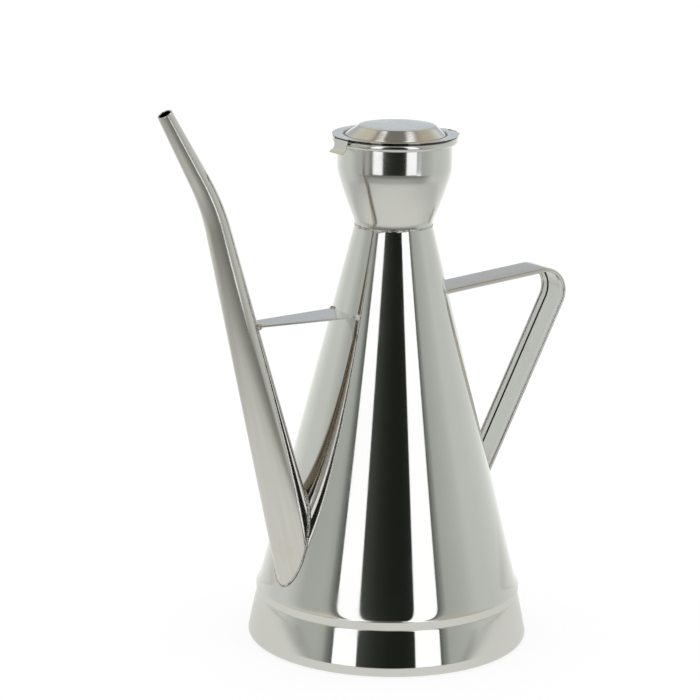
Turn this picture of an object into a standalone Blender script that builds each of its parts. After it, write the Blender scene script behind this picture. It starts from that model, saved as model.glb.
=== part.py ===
"""Conical oil cruet of stainless steel sheet, with a hinged lid, a long spout and a strip handle.

Metres, +Z up. The origin is the middle of the flat bottom. The spout points to -X and the handle to +X.
"""

import math

import bmesh
import bpy
from mathutils import Matrix, Vector

# Sheet and fits
SHEET = 0.0006
LID_SHEET = 0.0005
FIT_GAP = 0.0003

# Base pan, outside sizes
BASE_RADIUS = 0.0550
BASE_EDGE_RADIUS = 0.0022
SKIRT_HEIGHT = 0.0182
SKIRT_STEP = 0.0002
PLUG_HEIGHT = 0.0024
GROOVE_INSET = 0.0103
GROOVE_WIDTH = 0.0050
GROOVE_DEPTH = 0.0008
GROOVE_SLOPE_WIDTH = 0.0010

# Body cone, outside sizes
LIP_RADIUS = 0.0520
LIP_HEIGHT = 0.0028
FLARE_WIDTH = 0.0021
FLARE_HEIGHT = 0.0047
FLARE_KNEE_SHARE = 0.75
CONE_HEIGHT = 0.1392
NECK_RADIUS = 0.0151
PORT_RADIUS = 0.0060

# Filling cup, outside sizes
SPIGOT_DEPTH = 0.0040
THROAT_STEP = 0.0001
THROAT_RISE = 0.0009
SHOULDER_RISE = 0.0011
CUP_TAPER_RISE = 0.0170
CUP_TAPER_INSET = 0.0007
CUP_BULGE = 0.0003
CUP_BULGE_SHARE = 0.55
CUP_KNEE_RISE = 0.0053
CUP_WALL_RADIUS = 0.0220
CUP_WALL_RISE = 0.00905
CURL_RADIUS = 0.00135
CURL_END_DEG = -100

# Weld beads
NECK_WELD_HALF_WIDTH = 0.00055
NECK_WELD_HALF_HEIGHT = 0.0005
SPOUT_WELD_LEG = 0.0013
WELD_CROWN_SHARE = 0.2
TACK_RADIUS = 0.0007

# Spout, outside sizes; the leans are from the vertical
SPOUT_HEEL_RISE = 0.00265
SPOUT_FOOT_RADIUS = 0.00925
SPOUT_LEAN_DEG = 15.25
SPOUT_RUN_RISE = 0.1330
SPOUT_BEND_RADIUS = 0.0450
SPOUT_TIP_RISE = 0.0356
SPOUT_TIP_LEAN_DEG = 29.5
SPOUT_TIP_RADIUS = 0.00295
SPOUT_ROOT_LENGTH = 0.0280

# Bridge plate between the cone and the spout
BRIDGE_SHEET = 0.0008
BRIDGE_DROP = 0.0325
BRIDGE_CONE_WIDTH = 0.0170
BRIDGE_SPOUT_WIDTH = 0.0085

# Handle strip; the rise is from the level and the lean from the vertical
STRIP_SHEET = 0.00045
HANDLE_WIDTH = 0.0155
HANDLE_DROP = 0.0268
HANDLE_RISE_DEG = 4.6
HANDLE_FOOT_HEIGHT = 0.0578
HANDLE_LEAN_DEG = 27.3
HANDLE_BEND_RADIUS = 0.0100
HEM_LENGTH = 0.0036
FLAP_WIDTH = 0.0120
FLAP_LENGTH = 0.0055

# Lid
LID_OVERHANG = 0.0001
LID_FLANGE_WIDTH = 0.0038
LID_FLANK_DEG = 40
LID_GROOVE_WIDTH = 0.0005
LID_GROOVE_DEPTH = 0.0006
LID_GROOVE_SLOPE_WIDTH = 0.00035
LID_DOME_SIDE_WIDTH = 0.00415
LID_DOME_RISE = 0.0032
LID_DOME_OFFSET = 0.0009
LID_DOME_EDGE = 0.0007
LID_CROWN = 0.0001
LID_BACK_CLEARANCE = 0.0015
TAB_WIDTH = 0.0083
TAB_BEND = 0.0006
TAB_CLEARANCE = 0.0004
TAB_DROP = 0.0030
TAB_FLARE_OUT = 0.0021
TAB_FLARE_DOWN = 0.0023

# Lid hinge
HINGE_DROP = 0.0004
PIN_RADIUS = 0.0004
PIN_CLEARANCE = 0.0003
HINGE_WIDTH = 0.0070
EAR_WIDTH = 0.0026
EAR_WRAP_DEG = 240
KNUCKLE_WRAP_DEG = 210
BRACKET_HEIGHT = 0.0076
BRACKET_SHELF_GAP = 0.0004
BRACKET_BEND = 0.0004
NOTCH_ROOT_RISE = 0.0008

# Heights of the joints between the stacked pieces
LIP_FOOT_HEIGHT = SKIRT_HEIGHT + FIT_GAP
LIP_TOP_HEIGHT = LIP_FOOT_HEIGHT + LIP_HEIGHT
CONE_FOOT_HEIGHT = LIP_TOP_HEIGHT + FLARE_HEIGHT
CONE_FOOT_RADIUS = LIP_RADIUS - FLARE_WIDTH
NECK_HEIGHT = CONE_FOOT_HEIGHT + CONE_HEIGHT
THROAT_HEIGHT = NECK_HEIGHT + SHOULDER_RISE + THROAT_RISE
TAPER_HEIGHT = THROAT_HEIGHT + CUP_TAPER_RISE
WALL_FOOT_HEIGHT = TAPER_HEIGHT + CUP_KNEE_RISE
CURL_HEIGHT = WALL_FOOT_HEIGHT + CUP_WALL_RISE
CURL_REACH = CUP_WALL_RADIUS - SHEET + CURL_RADIUS
LID_TOP_HEIGHT = CURL_HEIGHT + CURL_RADIUS + FIT_GAP + LID_SHEET
LID_RADIUS = CURL_REACH + CURL_RADIUS + LID_OVERHANG
BRIDGE_HEIGHT = NECK_HEIGHT - BRIDGE_DROP
HANDLE_TOP_HEIGHT = NECK_HEIGHT - HANDLE_DROP
KNUCKLE_RADIUS = PIN_RADIUS + PIN_CLEARANCE + LID_SHEET

# Facets
TURNED_SEGMENTS = 56
LID_SEGMENTS = 72
SPOUT_SEGMENTS = 28
ARC_STEP_DEG = 30
CURL_STEP_DEG = 40
SMOOTH_ANGLE_DEG = 35
SETTLING_ROUNDS = 6
CUT_OVERRUN = 0.0020

# Steel finishes: colour, roughness
POLISHED = ((0.78, 0.78, 0.76, 1.0), 0.06)
BRUSHED = ((0.70, 0.69, 0.67, 1.0), 0.28)
SATIN = ((0.72, 0.71, 0.69, 1.0), 0.20)
WELDED = ((0.55, 0.53, 0.50, 1.0), 0.40)


# Shared geometry

def cone_slope():
    return (CONE_FOOT_RADIUS - NECK_RADIUS) / CONE_HEIGHT


def cone_tilt():
    return math.atan(cone_slope())


def cone_radius(height, clearance=0.0):
    """Outside radius of the cone at a height, or of the surface that clears it."""
    return CONE_FOOT_RADIUS - cone_slope() * (height - CONE_FOOT_HEIGHT) + clearance / math.cos(cone_tilt())


def spout_foot_height():
    """Height at which the spout's centre line meets the cone, so that its heel clears the flare."""
    tilt = cone_tilt()
    heel_drop = SPOUT_FOOT_RADIUS / math.sin(math.radians(SPOUT_LEAN_DEG) + tilt) * math.cos(tilt)
    return CONE_FOOT_HEIGHT + SPOUT_HEEL_RISE + heel_drop


def cup_spigot_radius():
    """The cup's spigot slides into the neck of the cone."""
    return NECK_RADIUS - SHEET / math.cos(cone_tilt()) - FIT_GAP


def hinge_axis():
    """Reach and height of the hinge pin: its knuckles lie just below the lid's face and clear the rim."""
    height = LID_TOP_HEIGHT - HINGE_DROP - KNUCKLE_RADIUS
    spacing = CURL_RADIUS + KNUCKLE_RADIUS + FIT_GAP
    return CURL_REACH + math.sqrt(spacing ** 2 - (height - CURL_HEIGHT) ** 2), height


def round_corner(centre, radius, start_deg, end_deg, step_deg=ARC_STEP_DEG):
    """Points of an arc, both ends included."""
    count = max(1, round(abs(end_deg - start_deg) / step_deg))
    points = []
    for index in range(count + 1):
        angle = math.radians(start_deg + (end_deg - start_deg) * index / count)
        points.append((centre[0] + radius * math.cos(angle), centre[1] + radius * math.sin(angle)))
    return points


def offset_right(path, distance):
    """The path moved to the right of its own direction, with mitred corners."""
    normals = []
    for (r0, z0), (r1, z1) in zip(path, path[1:]):
        length = math.hypot(r1 - r0, z1 - z0)
        normals.append(((z1 - z0) / length, (r0 - r1) / length))
    moved = []
    for index, (radius, height) in enumerate(path):
        before = normals[max(index - 1, 0)]
        after = normals[min(index, len(normals) - 1)]
        middle = (before[0] + after[0], before[1] + after[1])
        scale = 2 * distance / (middle[0] ** 2 + middle[1] ** 2)
        moved.append((radius + middle[0] * scale, height + middle[1] * scale))
    return moved


# Objects

def steel(name, finish):
    colour, roughness = finish
    material = bpy.data.materials.new(name)
    material.use_nodes = True
    shader = material.node_tree.nodes["Principled BSDF"]
    shader.inputs["Base Color"].default_value = colour
    shader.inputs["Metallic"].default_value = 1.0
    shader.inputs["Roughness"].default_value = roughness
    return material


def add_object(name, shape, finish, origin=(0, 0, 0)):
    """Store a closed bmesh as a smooth-shaded object with its own steel and its origin at the given point."""
    bmesh.ops.recalc_face_normals(shape, faces=shape.faces)
    shape.transform(Matrix.Translation(-Vector(origin)))
    mesh = bpy.data.meshes.new(name)
    shape.to_mesh(mesh)
    shape.free()
    mesh.shade_smooth()
    mesh.set_sharp_from_angle(angle=math.radians(SMOOTH_ANGLE_DEG))
    part = bpy.data.objects.new(name, mesh)
    part.location = origin
    bpy.context.scene.collection.objects.link(part)
    mesh.materials.append(steel(name, finish))
    return part


def add_cutter(name, shape):
    cutter = add_object(name, shape, WELDED)
    cutter.hide_render = True
    cutter.display_type = "WIRE"
    return cutter


def boolean(part, other, operation):
    modifier = part.modifiers.new(other.name, "BOOLEAN")
    modifier.operation = operation
    modifier.object = other
    modifier.solver = "EXACT"


def turned(outline, segments):
    """Spin a closed outline of (radius, height) points round the Z axis. A point at radius 0 is a pole."""
    shape = bmesh.new()
    rings = []
    for radius, height in outline:
        if radius == 0:
            rings.append([shape.verts.new((0, 0, height))])
            continue
        ring = []
        for index in range(segments):
            angle = 2 * math.pi * index / segments
            ring.append(shape.verts.new((radius * math.cos(angle), radius * math.sin(angle), height)))
        rings.append(ring)
    for low, high in zip(rings, rings[1:] + rings[:1]):
        join_rings(shape, low, high, closed=True)
    return shape, rings


def join_rings(shape, low, high, closed):
    """Skin two rows of vertices; a row of one vertex is a pole."""
    count = max(len(low), len(high))
    if count == 1:
        return
    for index in range(count if closed else count - 1):
        following = (index + 1) % count
        corners = []
        for row, column in ((low, index), (low, following), (high, following), (high, index)):
            corner = row[column % len(row)]
            if corner not in corners:
                corners.append(corner)
        shape.faces.new(corners)


def tube(sections):
    """Skin closed sections of equal size, one after the other, and cap both ends."""
    shape = bmesh.new()
    rings = [[shape.verts.new(point) for point in section] for section in sections]
    for low, high in zip(rings, rings[1:]):
        join_rings(shape, low, high, closed=True)
    shape.faces.new(rings[0])
    shape.faces.new(rings[-1])
    return shape


def closed_ring(sections):
    """Skin closed sections into a ring that ends where it starts."""
    shape = bmesh.new()
    rings = [[shape.verts.new(point) for point in section] for section in sections]
    for low, high in zip(rings, rings[1:] + rings[:1]):
        join_rings(shape, low, high, closed=True)
    return shape


def box_section(reach, half, bottom, top):
    """An upright rectangle across the XZ plane."""
    return [(reach, -half, bottom), (reach, half, bottom), (reach, half, top), (reach, -half, top)]


# Body cone: a rolled and welded cone whose foot flares into a lip over the base pan

def body_cone(drill):
    knee_height = CONE_FOOT_HEIGHT - FLARE_HEIGHT * FLARE_KNEE_SHARE
    start = Vector((CONE_FOOT_RADIUS, CONE_FOOT_HEIGHT))
    knee = Vector((cone_radius(knee_height), knee_height))
    end = Vector((LIP_RADIUS, LIP_TOP_HEIGHT))
    flare_steps = 4
    outside = [(NECK_RADIUS, NECK_HEIGHT)]
    for step in range(flare_steps + 1):
        share = step / flare_steps
        point = start.lerp(knee, share).lerp(knee.lerp(end, share), share)
        outside.append(tuple(point))
    outside.append((LIP_RADIUS, LIP_FOOT_HEIGHT))
    outline = outside + offset_right(outside, SHEET)[::-1]
    shape, _ = turned(outline, TURNED_SEGMENTS)
    cone = add_object("body_cone", shape, POLISHED)
    boolean(cone, drill, "DIFFERENCE")


def port_cutter():
    """A drill through the cone's wall, square to it, where the spout's centre line meets it."""
    tilt = cone_tilt()
    height = spout_foot_height()
    middle = Vector((-cone_radius(height), 0, height))
    outward = Vector((-math.cos(tilt), 0, math.sin(tilt)))
    across = Vector((math.sin(tilt), 0, math.cos(tilt)))
    sections = []
    for reach in (-SHEET - CUT_OVERRUN, CUT_OVERRUN):
        section = []
        for index in range(SPOUT_SEGMENTS):
            angle = 2 * math.pi * index / SPOUT_SEGMENTS
            spoke = across * math.cos(angle) + Vector((0, 1, 0)) * math.sin(angle)
            section.append(middle + outward * reach + spoke * PORT_RADIUS)
        sections.append(section)
    return add_cutter("port_cutter", tube(sections))


# Base pan: one deep-drawn pan, joggled at the top so that it plugs into the cone's lip

def base_pan():
    plug_radius = LIP_RADIUS - SHEET - FIT_GAP
    flat_end = BASE_RADIUS - BASE_EDGE_RADIUS
    edge_centre = (flat_end, BASE_EDGE_RADIUS)
    groove_outside = flat_end - GROOVE_INSET
    groove_inside = groove_outside - GROOVE_WIDTH
    outside = [
        (plug_radius, SKIRT_HEIGHT + PLUG_HEIGHT),
        (plug_radius, SKIRT_HEIGHT),
        (LIP_RADIUS - SKIRT_STEP, SKIRT_HEIGHT - SKIRT_STEP),
    ]
    outside += round_corner(edge_centre, BASE_EDGE_RADIUS, 0, -90)
    outside += [
        (groove_outside, 0),
        (groove_outside - GROOVE_SLOPE_WIDTH, GROOVE_DEPTH),
        (groove_inside + GROOVE_SLOPE_WIDTH, GROOVE_DEPTH),
        (groove_inside, 0),
        (0, 0),
    ]
    outline = outside + offset_right(outside, SHEET)[::-1]
    shape, _ = turned(outline, TURNED_SEGMENTS)
    add_object("base_pan", shape, POLISHED)


# Filling cup: a spun funnel whose spigot sits in the neck and whose mouth is rolled outwards

def filling_cup():
    spigot_radius = cup_spigot_radius()
    taper_start = Vector((NECK_RADIUS + THROAT_STEP, THROAT_HEIGHT))
    taper_end = Vector((CUP_WALL_RADIUS - CUP_TAPER_INSET, TAPER_HEIGHT))
    bulge = taper_start.lerp(taper_end, CUP_BULGE_SHARE) + Vector((CUP_BULGE, 0))
    wall_foot = Vector((CUP_WALL_RADIUS, WALL_FOOT_HEIGHT))
    knee = taper_end.lerp(wall_foot, CUP_BULGE_SHARE) + Vector((CUP_BULGE / 2, 0))
    outside = [
        (spigot_radius, NECK_HEIGHT - SPIGOT_DEPTH),
        (spigot_radius, NECK_HEIGHT + SHOULDER_RISE),
        tuple(taper_start),
        tuple(bulge),
        tuple(taper_end),
        tuple(knee),
        tuple(wall_foot),
    ]
    inside = [(radius - SHEET, height) for radius, height in outside]
    inside += round_corner((CURL_REACH, CURL_HEIGHT), CURL_RADIUS, 180, CURL_END_DEG, CURL_STEP_DEG)
    outline = inside + offset_right(inside, SHEET)[::-1]
    shape, _ = turned(outline, TURNED_SEGMENTS)
    add_object("filling_cup", shape, POLISHED)


def neck_weld():
    """The bead lies in the notch between the neck's edge and the cup's shoulder."""
    centre = (cup_spigot_radius() + FIT_GAP + NECK_WELD_HALF_WIDTH,
              NECK_HEIGHT + FIT_GAP + NECK_WELD_HALF_HEIGHT)
    corners = 8
    outline = []
    for index in range(corners):
        angle = 2 * math.pi * index / corners
        outline.append((centre[0] + NECK_WELD_HALF_WIDTH * math.cos(angle),
                        centre[1] + NECK_WELD_HALF_HEIGHT * math.sin(angle)))
    shape, _ = turned(outline, TURNED_SEGMENTS)
    add_object("neck_weld", shape, WELDED)


# Spout: a tapered tube, bent once, whose foot is coped to the cone

class SpoutRoute:
    """Centre line of the spout in the XZ plane: a straight run, one bend and a straight tip."""

    def __init__(self):
        low = math.radians(SPOUT_LEAN_DEG)
        high = math.radians(SPOUT_TIP_LEAN_DEG)
        height = spout_foot_height()
        self.foot = Vector((-cone_radius(height), 0, height))
        self.low_run = Vector((-math.sin(low), 0, math.cos(low)))
        self.high_run = Vector((-math.sin(high), 0, math.cos(high)))
        to_corner = SPOUT_RUN_RISE / self.low_run.z
        tangent = SPOUT_BEND_RADIUS * math.tan((high - low) / 2)
        from_corner = SPOUT_TIP_RISE / self.high_run.z
        self.turn = high - low
        self.bend_start = to_corner - tangent
        self.bend_end = self.bend_start + SPOUT_BEND_RADIUS * self.turn
        self.length = self.bend_end + from_corner - tangent

    def direction(self, distance):
        share = (distance - self.bend_start) / (self.bend_end - self.bend_start)
        lean = math.radians(SPOUT_LEAN_DEG) + self.turn * min(max(share, 0), 1)
        return Vector((-math.sin(lean), 0, math.cos(lean)))

    def centre(self, distance):
        point = self.foot + self.low_run * min(distance, self.bend_start)
        if distance > self.bend_start:
            turned_by = (min(distance, self.bend_end) - self.bend_start) / SPOUT_BEND_RADIUS
            chord = 2 * SPOUT_BEND_RADIUS * math.sin(turned_by / 2)
            lean = math.radians(SPOUT_LEAN_DEG) + turned_by / 2
            point = point + Vector((-math.sin(lean), 0, math.cos(lean))) * chord
        if distance > self.bend_end:
            point = point + self.high_run * (distance - self.bend_end)
        return point

    def radius(self, distance):
        return SPOUT_FOOT_RADIUS + (SPOUT_TIP_RADIUS - SPOUT_FOOT_RADIUS) * distance / self.length

    def surface(self, distance, angle, clearance=0.0):
        """A point on the tube's outside. Angle 0 faces away from the cone and pi faces it."""
        outward = Vector((0, 1, 0)).cross(self.direction(distance))
        spoke = -outward * math.cos(angle) + Vector((0, 1, 0)) * math.sin(angle)
        return self.centre(distance) + spoke * (self.radius(distance) + clearance)

    def section(self, distance, clearance=0.0):
        return [self.surface(distance, 2 * math.pi * index / SPOUT_SEGMENTS, clearance)
                for index in range(SPOUT_SEGMENTS)]

    def stations(self):
        """Distances from the foot: the root inside the cone, the straight run, the bend and the tip."""
        bend_steps = 4
        run_steps = 3
        distances = [-SPOUT_ROOT_LENGTH]
        distances += [self.bend_start * step / run_steps for step in range(run_steps)]
        distances += [self.bend_start + (self.bend_end - self.bend_start) * step / bend_steps
                      for step in range(bend_steps + 1)]
        distances.append(self.length)
        return distances


def cone_envelope():
    """The solid that clears the cone by the fit gap; what meets the cone is coped to it."""
    outline = [(0, 0), (cone_radius(0, FIT_GAP), 0), (cone_radius(NECK_HEIGHT, FIT_GAP), NECK_HEIGHT),
               (0, NECK_HEIGHT)]
    shape, _ = turned(outline, TURNED_SEGMENTS)
    return add_cutter("cone_envelope", shape)


def spout_envelope(route):
    """The solid that clears the spout by the fit gap."""
    sections = [route.section(distance, FIT_GAP) for distance in route.stations()]
    return add_cutter("spout_envelope", tube(sections))


def spout_tube(route, envelope):
    stations = route.stations()
    outside = [route.section(distance) for distance in stations]
    bore = [route.section(distance, -SHEET) for distance in stations]
    shape = closed_ring(outside + bore[::-1])
    spout = add_object("spout_tube", shape, BRUSHED)
    boolean(spout, envelope, "DIFFERENCE")


def cone_touch(route, angle):
    """Distance along the spout at which its cleared outside meets the cleared cone."""
    low, high = -SPOUT_ROOT_LENGTH, route.bend_start
    halvings = 40
    for _ in range(halvings):
        middle = (low + high) / 2
        point = route.surface(middle, angle, FIT_GAP)
        if math.hypot(point.x, point.y) > cone_radius(point.z, FIT_GAP):
            high = middle
        else:
            low = middle
    return high


def on_cone(point, clearance):
    """The point moved level onto the surface that clears the cone."""
    radius = cone_radius(point.z, clearance)
    spoke = Vector((point.x, point.y, 0)).normalized()
    return Vector((spoke.x * radius, spoke.y * radius, point.z))


def fillet_section(corner, first, second):
    """Corner, two legs and a crown between them."""
    middle = (first + second) / 2
    return [corner, first, middle + (middle - corner) * WELD_CROWN_SHARE, second]


def spout_weld(route):
    """A fillet that runs round the foot of the spout on the cone."""
    tilt = cone_tilt()
    sections = []
    for index in range(SPOUT_SEGMENTS):
        angle = 2 * math.pi * index / SPOUT_SEGMENTS
        touch = cone_touch(route, angle)
        corner = route.surface(touch, angle, FIT_GAP)
        spoke = Vector((corner.x, corner.y, 0)).normalized()
        cone_normal = spoke * math.cos(tilt) + Vector((0, 0, math.sin(tilt)))
        away = corner - route.centre(touch)
        along_cone = (away - cone_normal * away.dot(cone_normal)).normalized()
        cone_leg = on_cone(corner + along_cone * SPOUT_WELD_LEG, FIT_GAP)
        spout_leg = route.surface(touch + SPOUT_WELD_LEG, angle, FIT_GAP)
        sections.append(fillet_section(corner, cone_leg, spout_leg))
    add_object("spout_weld", closed_ring(sections), WELDED)


# Bridge plate: a flat tie between the cone and the spout, tacked to them at its four corners

class BridgeSpan:
    """Where the plate meets the cone and the spout, and how wide it is between them."""

    def __init__(self, route):
        distance = (BRIDGE_HEIGHT - route.foot.z) / route.low_run.z
        self.spout_axis = route.centre(distance).x
        self.spout_radius = route.radius(distance)
        self.cone_end = -cone_radius(BRIDGE_HEIGHT)
        self.spout_end = self.spout_axis + self.spout_radius

    def half_width(self, reach):
        share = (self.cone_end - reach) / (self.cone_end - self.spout_end)
        return (BRIDGE_CONE_WIDTH + (BRIDGE_SPOUT_WIDTH - BRIDGE_CONE_WIDTH) * share) / 2


def bridge_plate(span, cone_solid, spout_solid):
    top = BRIDGE_HEIGHT + BRIDGE_SHEET / 2
    bottom = BRIDGE_HEIGHT - BRIDGE_SHEET / 2
    shape = tube([box_section(reach, span.half_width(reach), bottom, top)
                  for reach in (span.cone_end / 2, span.spout_axis)])
    plate = add_object("spout_bridge", shape, BRUSHED)
    boolean(plate, cone_solid, "DIFFERENCE")
    boolean(plate, spout_solid, "DIFFERENCE")


def bridge_tacks(span):
    """A bead of weld in each corner between the plate's edges and the round walls."""
    stand_off = FIT_GAP + TACK_RADIUS
    ends = (
        ("cone", 0, cone_radius(BRIDGE_HEIGHT, stand_off), -1),
        ("spout", span.spout_axis, span.spout_radius + stand_off, 1),
    )
    for wall, centre, radius, facing in ends:
        reach = centre + facing * radius
        for _ in range(SETTLING_ROUNDS):
            across = span.half_width(reach) + stand_off
            reach = centre + facing * math.sqrt(radius ** 2 - across ** 2)
        for side, sign in (("near", -1), ("far", 1)):
            shape = bmesh.new()
            bmesh.ops.create_icosphere(shape, subdivisions=1, radius=TACK_RADIUS)
            shape.transform(Matrix.Translation((reach, sign * across, BRIDGE_HEIGHT)))
            add_object(f"bridge_tack_{wall}_{side}", shape, WELDED)


# Handle: one strip with folded edges, bent to a corner, with a flap at each end against the cone

def handle_stations():
    """Outside face of the strip as (point, direction) pairs, from the cone over the corner and back."""
    rise = math.radians(HANDLE_RISE_DEG)
    lean = math.radians(HANDLE_LEAN_DEG)
    top = Vector((cone_radius(HANDLE_TOP_HEIGHT), HANDLE_TOP_HEIGHT))
    foot = Vector((cone_radius(HANDLE_FOOT_HEIGHT), HANDLE_FOOT_HEIGHT))
    out = Vector((math.cos(rise), math.sin(rise)))
    down = Vector((-math.sin(lean), -math.cos(lean)))
    span = foot - top
    to_corner = (span.x * math.cos(lean) - span.y * math.sin(lean)) / math.cos(rise + lean)
    turn = math.pi / 2 + lean + rise
    to_bend = to_corner - HANDLE_BEND_RADIUS * math.tan(turn / 2)
    bend_centre = top + out * to_bend + Vector((out.y, -out.x)) * HANDLE_BEND_RADIUS
    bend_steps = 7
    stations = [(top - out * CUT_OVERRUN * 2, out)]
    for step in range(bend_steps + 1):
        angle = math.pi / 2 + rise - turn * step / bend_steps
        point = bend_centre + Vector((math.cos(angle), math.sin(angle))) * HANDLE_BEND_RADIUS
        stations.append((point, Vector((math.sin(angle), -math.cos(angle)))))
    stations.append((foot + down * CUT_OVERRUN * 2, down))
    return stations


def hemmed_section():
    """Half of the strip's section as (across, depth) points; the hem is pressed flat onto the strip."""
    edge = HANDLE_WIDTH / 2
    fold = round_corner((edge - STRIP_SHEET, -STRIP_SHEET), STRIP_SHEET, 90, -90, 45)
    return fold + [(edge - HEM_LENGTH, -2 * STRIP_SHEET), (edge - HEM_LENGTH, -STRIP_SHEET)]


def handle_flap(name, top, bottom):
    """A piece of the strip bent against the cone, following its curve."""
    spread = math.asin(FLAP_WIDTH / 2 / cone_radius(top))
    steps = 6
    sections = []
    for step in range(steps + 1):
        angle = -spread + 2 * spread * step / steps
        spoke = Vector((math.cos(angle), math.sin(angle), 0))
        section = []
        for height, clearance in ((top, FIT_GAP), (bottom, FIT_GAP),
                                  (bottom, FIT_GAP + STRIP_SHEET), (top, FIT_GAP + STRIP_SHEET)):
            section.append(spoke * cone_radius(height, clearance) + Vector((0, 0, height)))
        sections.append(section)
    return add_cutter(name, tube(sections))


def handle_strip(cone_solid):
    half = hemmed_section()
    profile = half + [(-across, depth) for across, depth in reversed(half)]
    sections = []
    for point, direction in handle_stations():
        outward = Vector((-direction.y, direction.x))
        sections.append([(point.x + outward.x * depth, across, point.y + outward.y * depth)
                         for across, depth in profile])
    strip = add_object("handle_strip", tube(sections), BRUSHED)
    boolean(strip, cone_solid, "DIFFERENCE")
    upper_top = HANDLE_TOP_HEIGHT - STRIP_SHEET / 2
    lower_top = HANDLE_FOOT_HEIGHT + STRIP_SHEET / 2
    boolean(strip, handle_flap("upper_flap", upper_top, upper_top - FLAP_LENGTH), "UNION")
    boolean(strip, handle_flap("lower_flap", lower_top, lower_top - FLAP_LENGTH), "UNION")


# Lid: a pressed disc with a raised middle, a finger tab at the front and a rolled ear at the back

def grow_strip(shape, face_row, back_row, stations):
    """Extend a row of paired vertices through stations of (face points, back points) and cap the end."""
    for face_points, back_points in stations:
        new_face = [shape.verts.new(point) for point in face_points]
        new_back = [shape.verts.new(point) for point in back_points]
        join_rings(shape, face_row + back_row[::-1], new_face + new_back[::-1], closed=True)
        face_row, back_row = new_face, new_back
    for index in range(len(face_row) - 1):
        shape.faces.new((face_row[index], face_row[index + 1], back_row[index + 1], back_row[index]))


def clear_rim(shape, top_row, bottom_row):
    """Open the rim's edge between two rows, so that a strip can grow from it."""
    for index in range(len(top_row) - 1):
        corners = {top_row[index], top_row[index + 1], bottom_row[index], bottom_row[index + 1]}
        for face in list(top_row[index].link_faces):
            if set(face.verts) == corners:
                shape.faces.remove(face)


def tab_stations(rim_row):
    """Round the rim, down past the rolled bead and out again as a finger lip."""
    face_reach = CURL_REACH + CURL_RADIUS + TAB_CLEARANCE + LID_SHEET
    bend_centre = (face_reach - TAB_BEND, LID_TOP_HEIGHT - TAB_BEND)
    face = round_corner(bend_centre, TAB_BEND, 90, 0, 45)
    foot = Vector((face_reach, LID_TOP_HEIGHT - TAB_DROP))
    tip = foot + Vector((TAB_FLARE_OUT, -TAB_FLARE_DOWN))
    knee = foot - Vector((0, TAB_FLARE_DOWN / 2))
    flare_steps = 3
    for step in range(flare_steps + 1):
        share = step / flare_steps
        face.append(tuple(foot.lerp(knee, share).lerp(knee.lerp(tip, share), share)))
    back = offset_right(face, LID_SHEET)
    columns = len(rim_row) - 1
    stations = []
    for number, (face_point, back_point) in enumerate(zip(face, back)):
        straightness = min(1.0, (number + 1) / 2)
        rows = []
        for reach, height in (face_point, back_point):
            row = []
            for column, rim_vertex in enumerate(rim_row):
                across = TAB_WIDTH * (0.5 - column / columns)
                sweep = (LID_RADIUS + rim_vertex.co.x) * (1 - straightness)
                row.append((-reach + sweep, across, height))
            rows.append(row)
        stations.append(rows)
    return stations


def ear_stations(rim_row):
    """Level out, at full narrowness before the knuckles, straight down onto the ring and round the pin."""
    reach, height = hinge_axis()
    near = reach - KNUCKLE_RADIUS - FIT_GAP
    bore = KNUCKLE_RADIUS - LID_SHEET
    run, fall = reach - near, LID_TOP_HEIGHT - height
    touch_deg = 180 - math.degrees(math.atan2(fall, run) + math.acos(KNUCKLE_RADIUS / math.hypot(run, fall)))
    face = [(near, LID_TOP_HEIGHT)]
    face += round_corner((reach, height), KNUCKLE_RADIUS, touch_deg, 90 - EAR_WRAP_DEG)
    back = [(near, LID_TOP_HEIGHT - LID_SHEET)]
    back += round_corner((reach, height), bore, touch_deg, 90 - EAR_WRAP_DEG)
    columns = len(rim_row) - 1
    stations = []
    for points in zip(face, back):
        stations.append([[(x, EAR_WIDTH * (column / columns - 0.5), z) for column in range(columns + 1)]
                         for x, z in points])
    return stations


def square_off(vertex, back_edge):
    """Give the round rim two straight flanks that meet its straight back edge in corners."""
    flank = math.radians(LID_FLANK_DEG)
    angle = abs(math.atan2(vertex.co.y, vertex.co.x))
    if angle < flank:
        stretch = min(1 / math.cos(flank - angle), back_edge / vertex.co.x)
        vertex.co.x *= stretch
        vertex.co.y *= stretch


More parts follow.
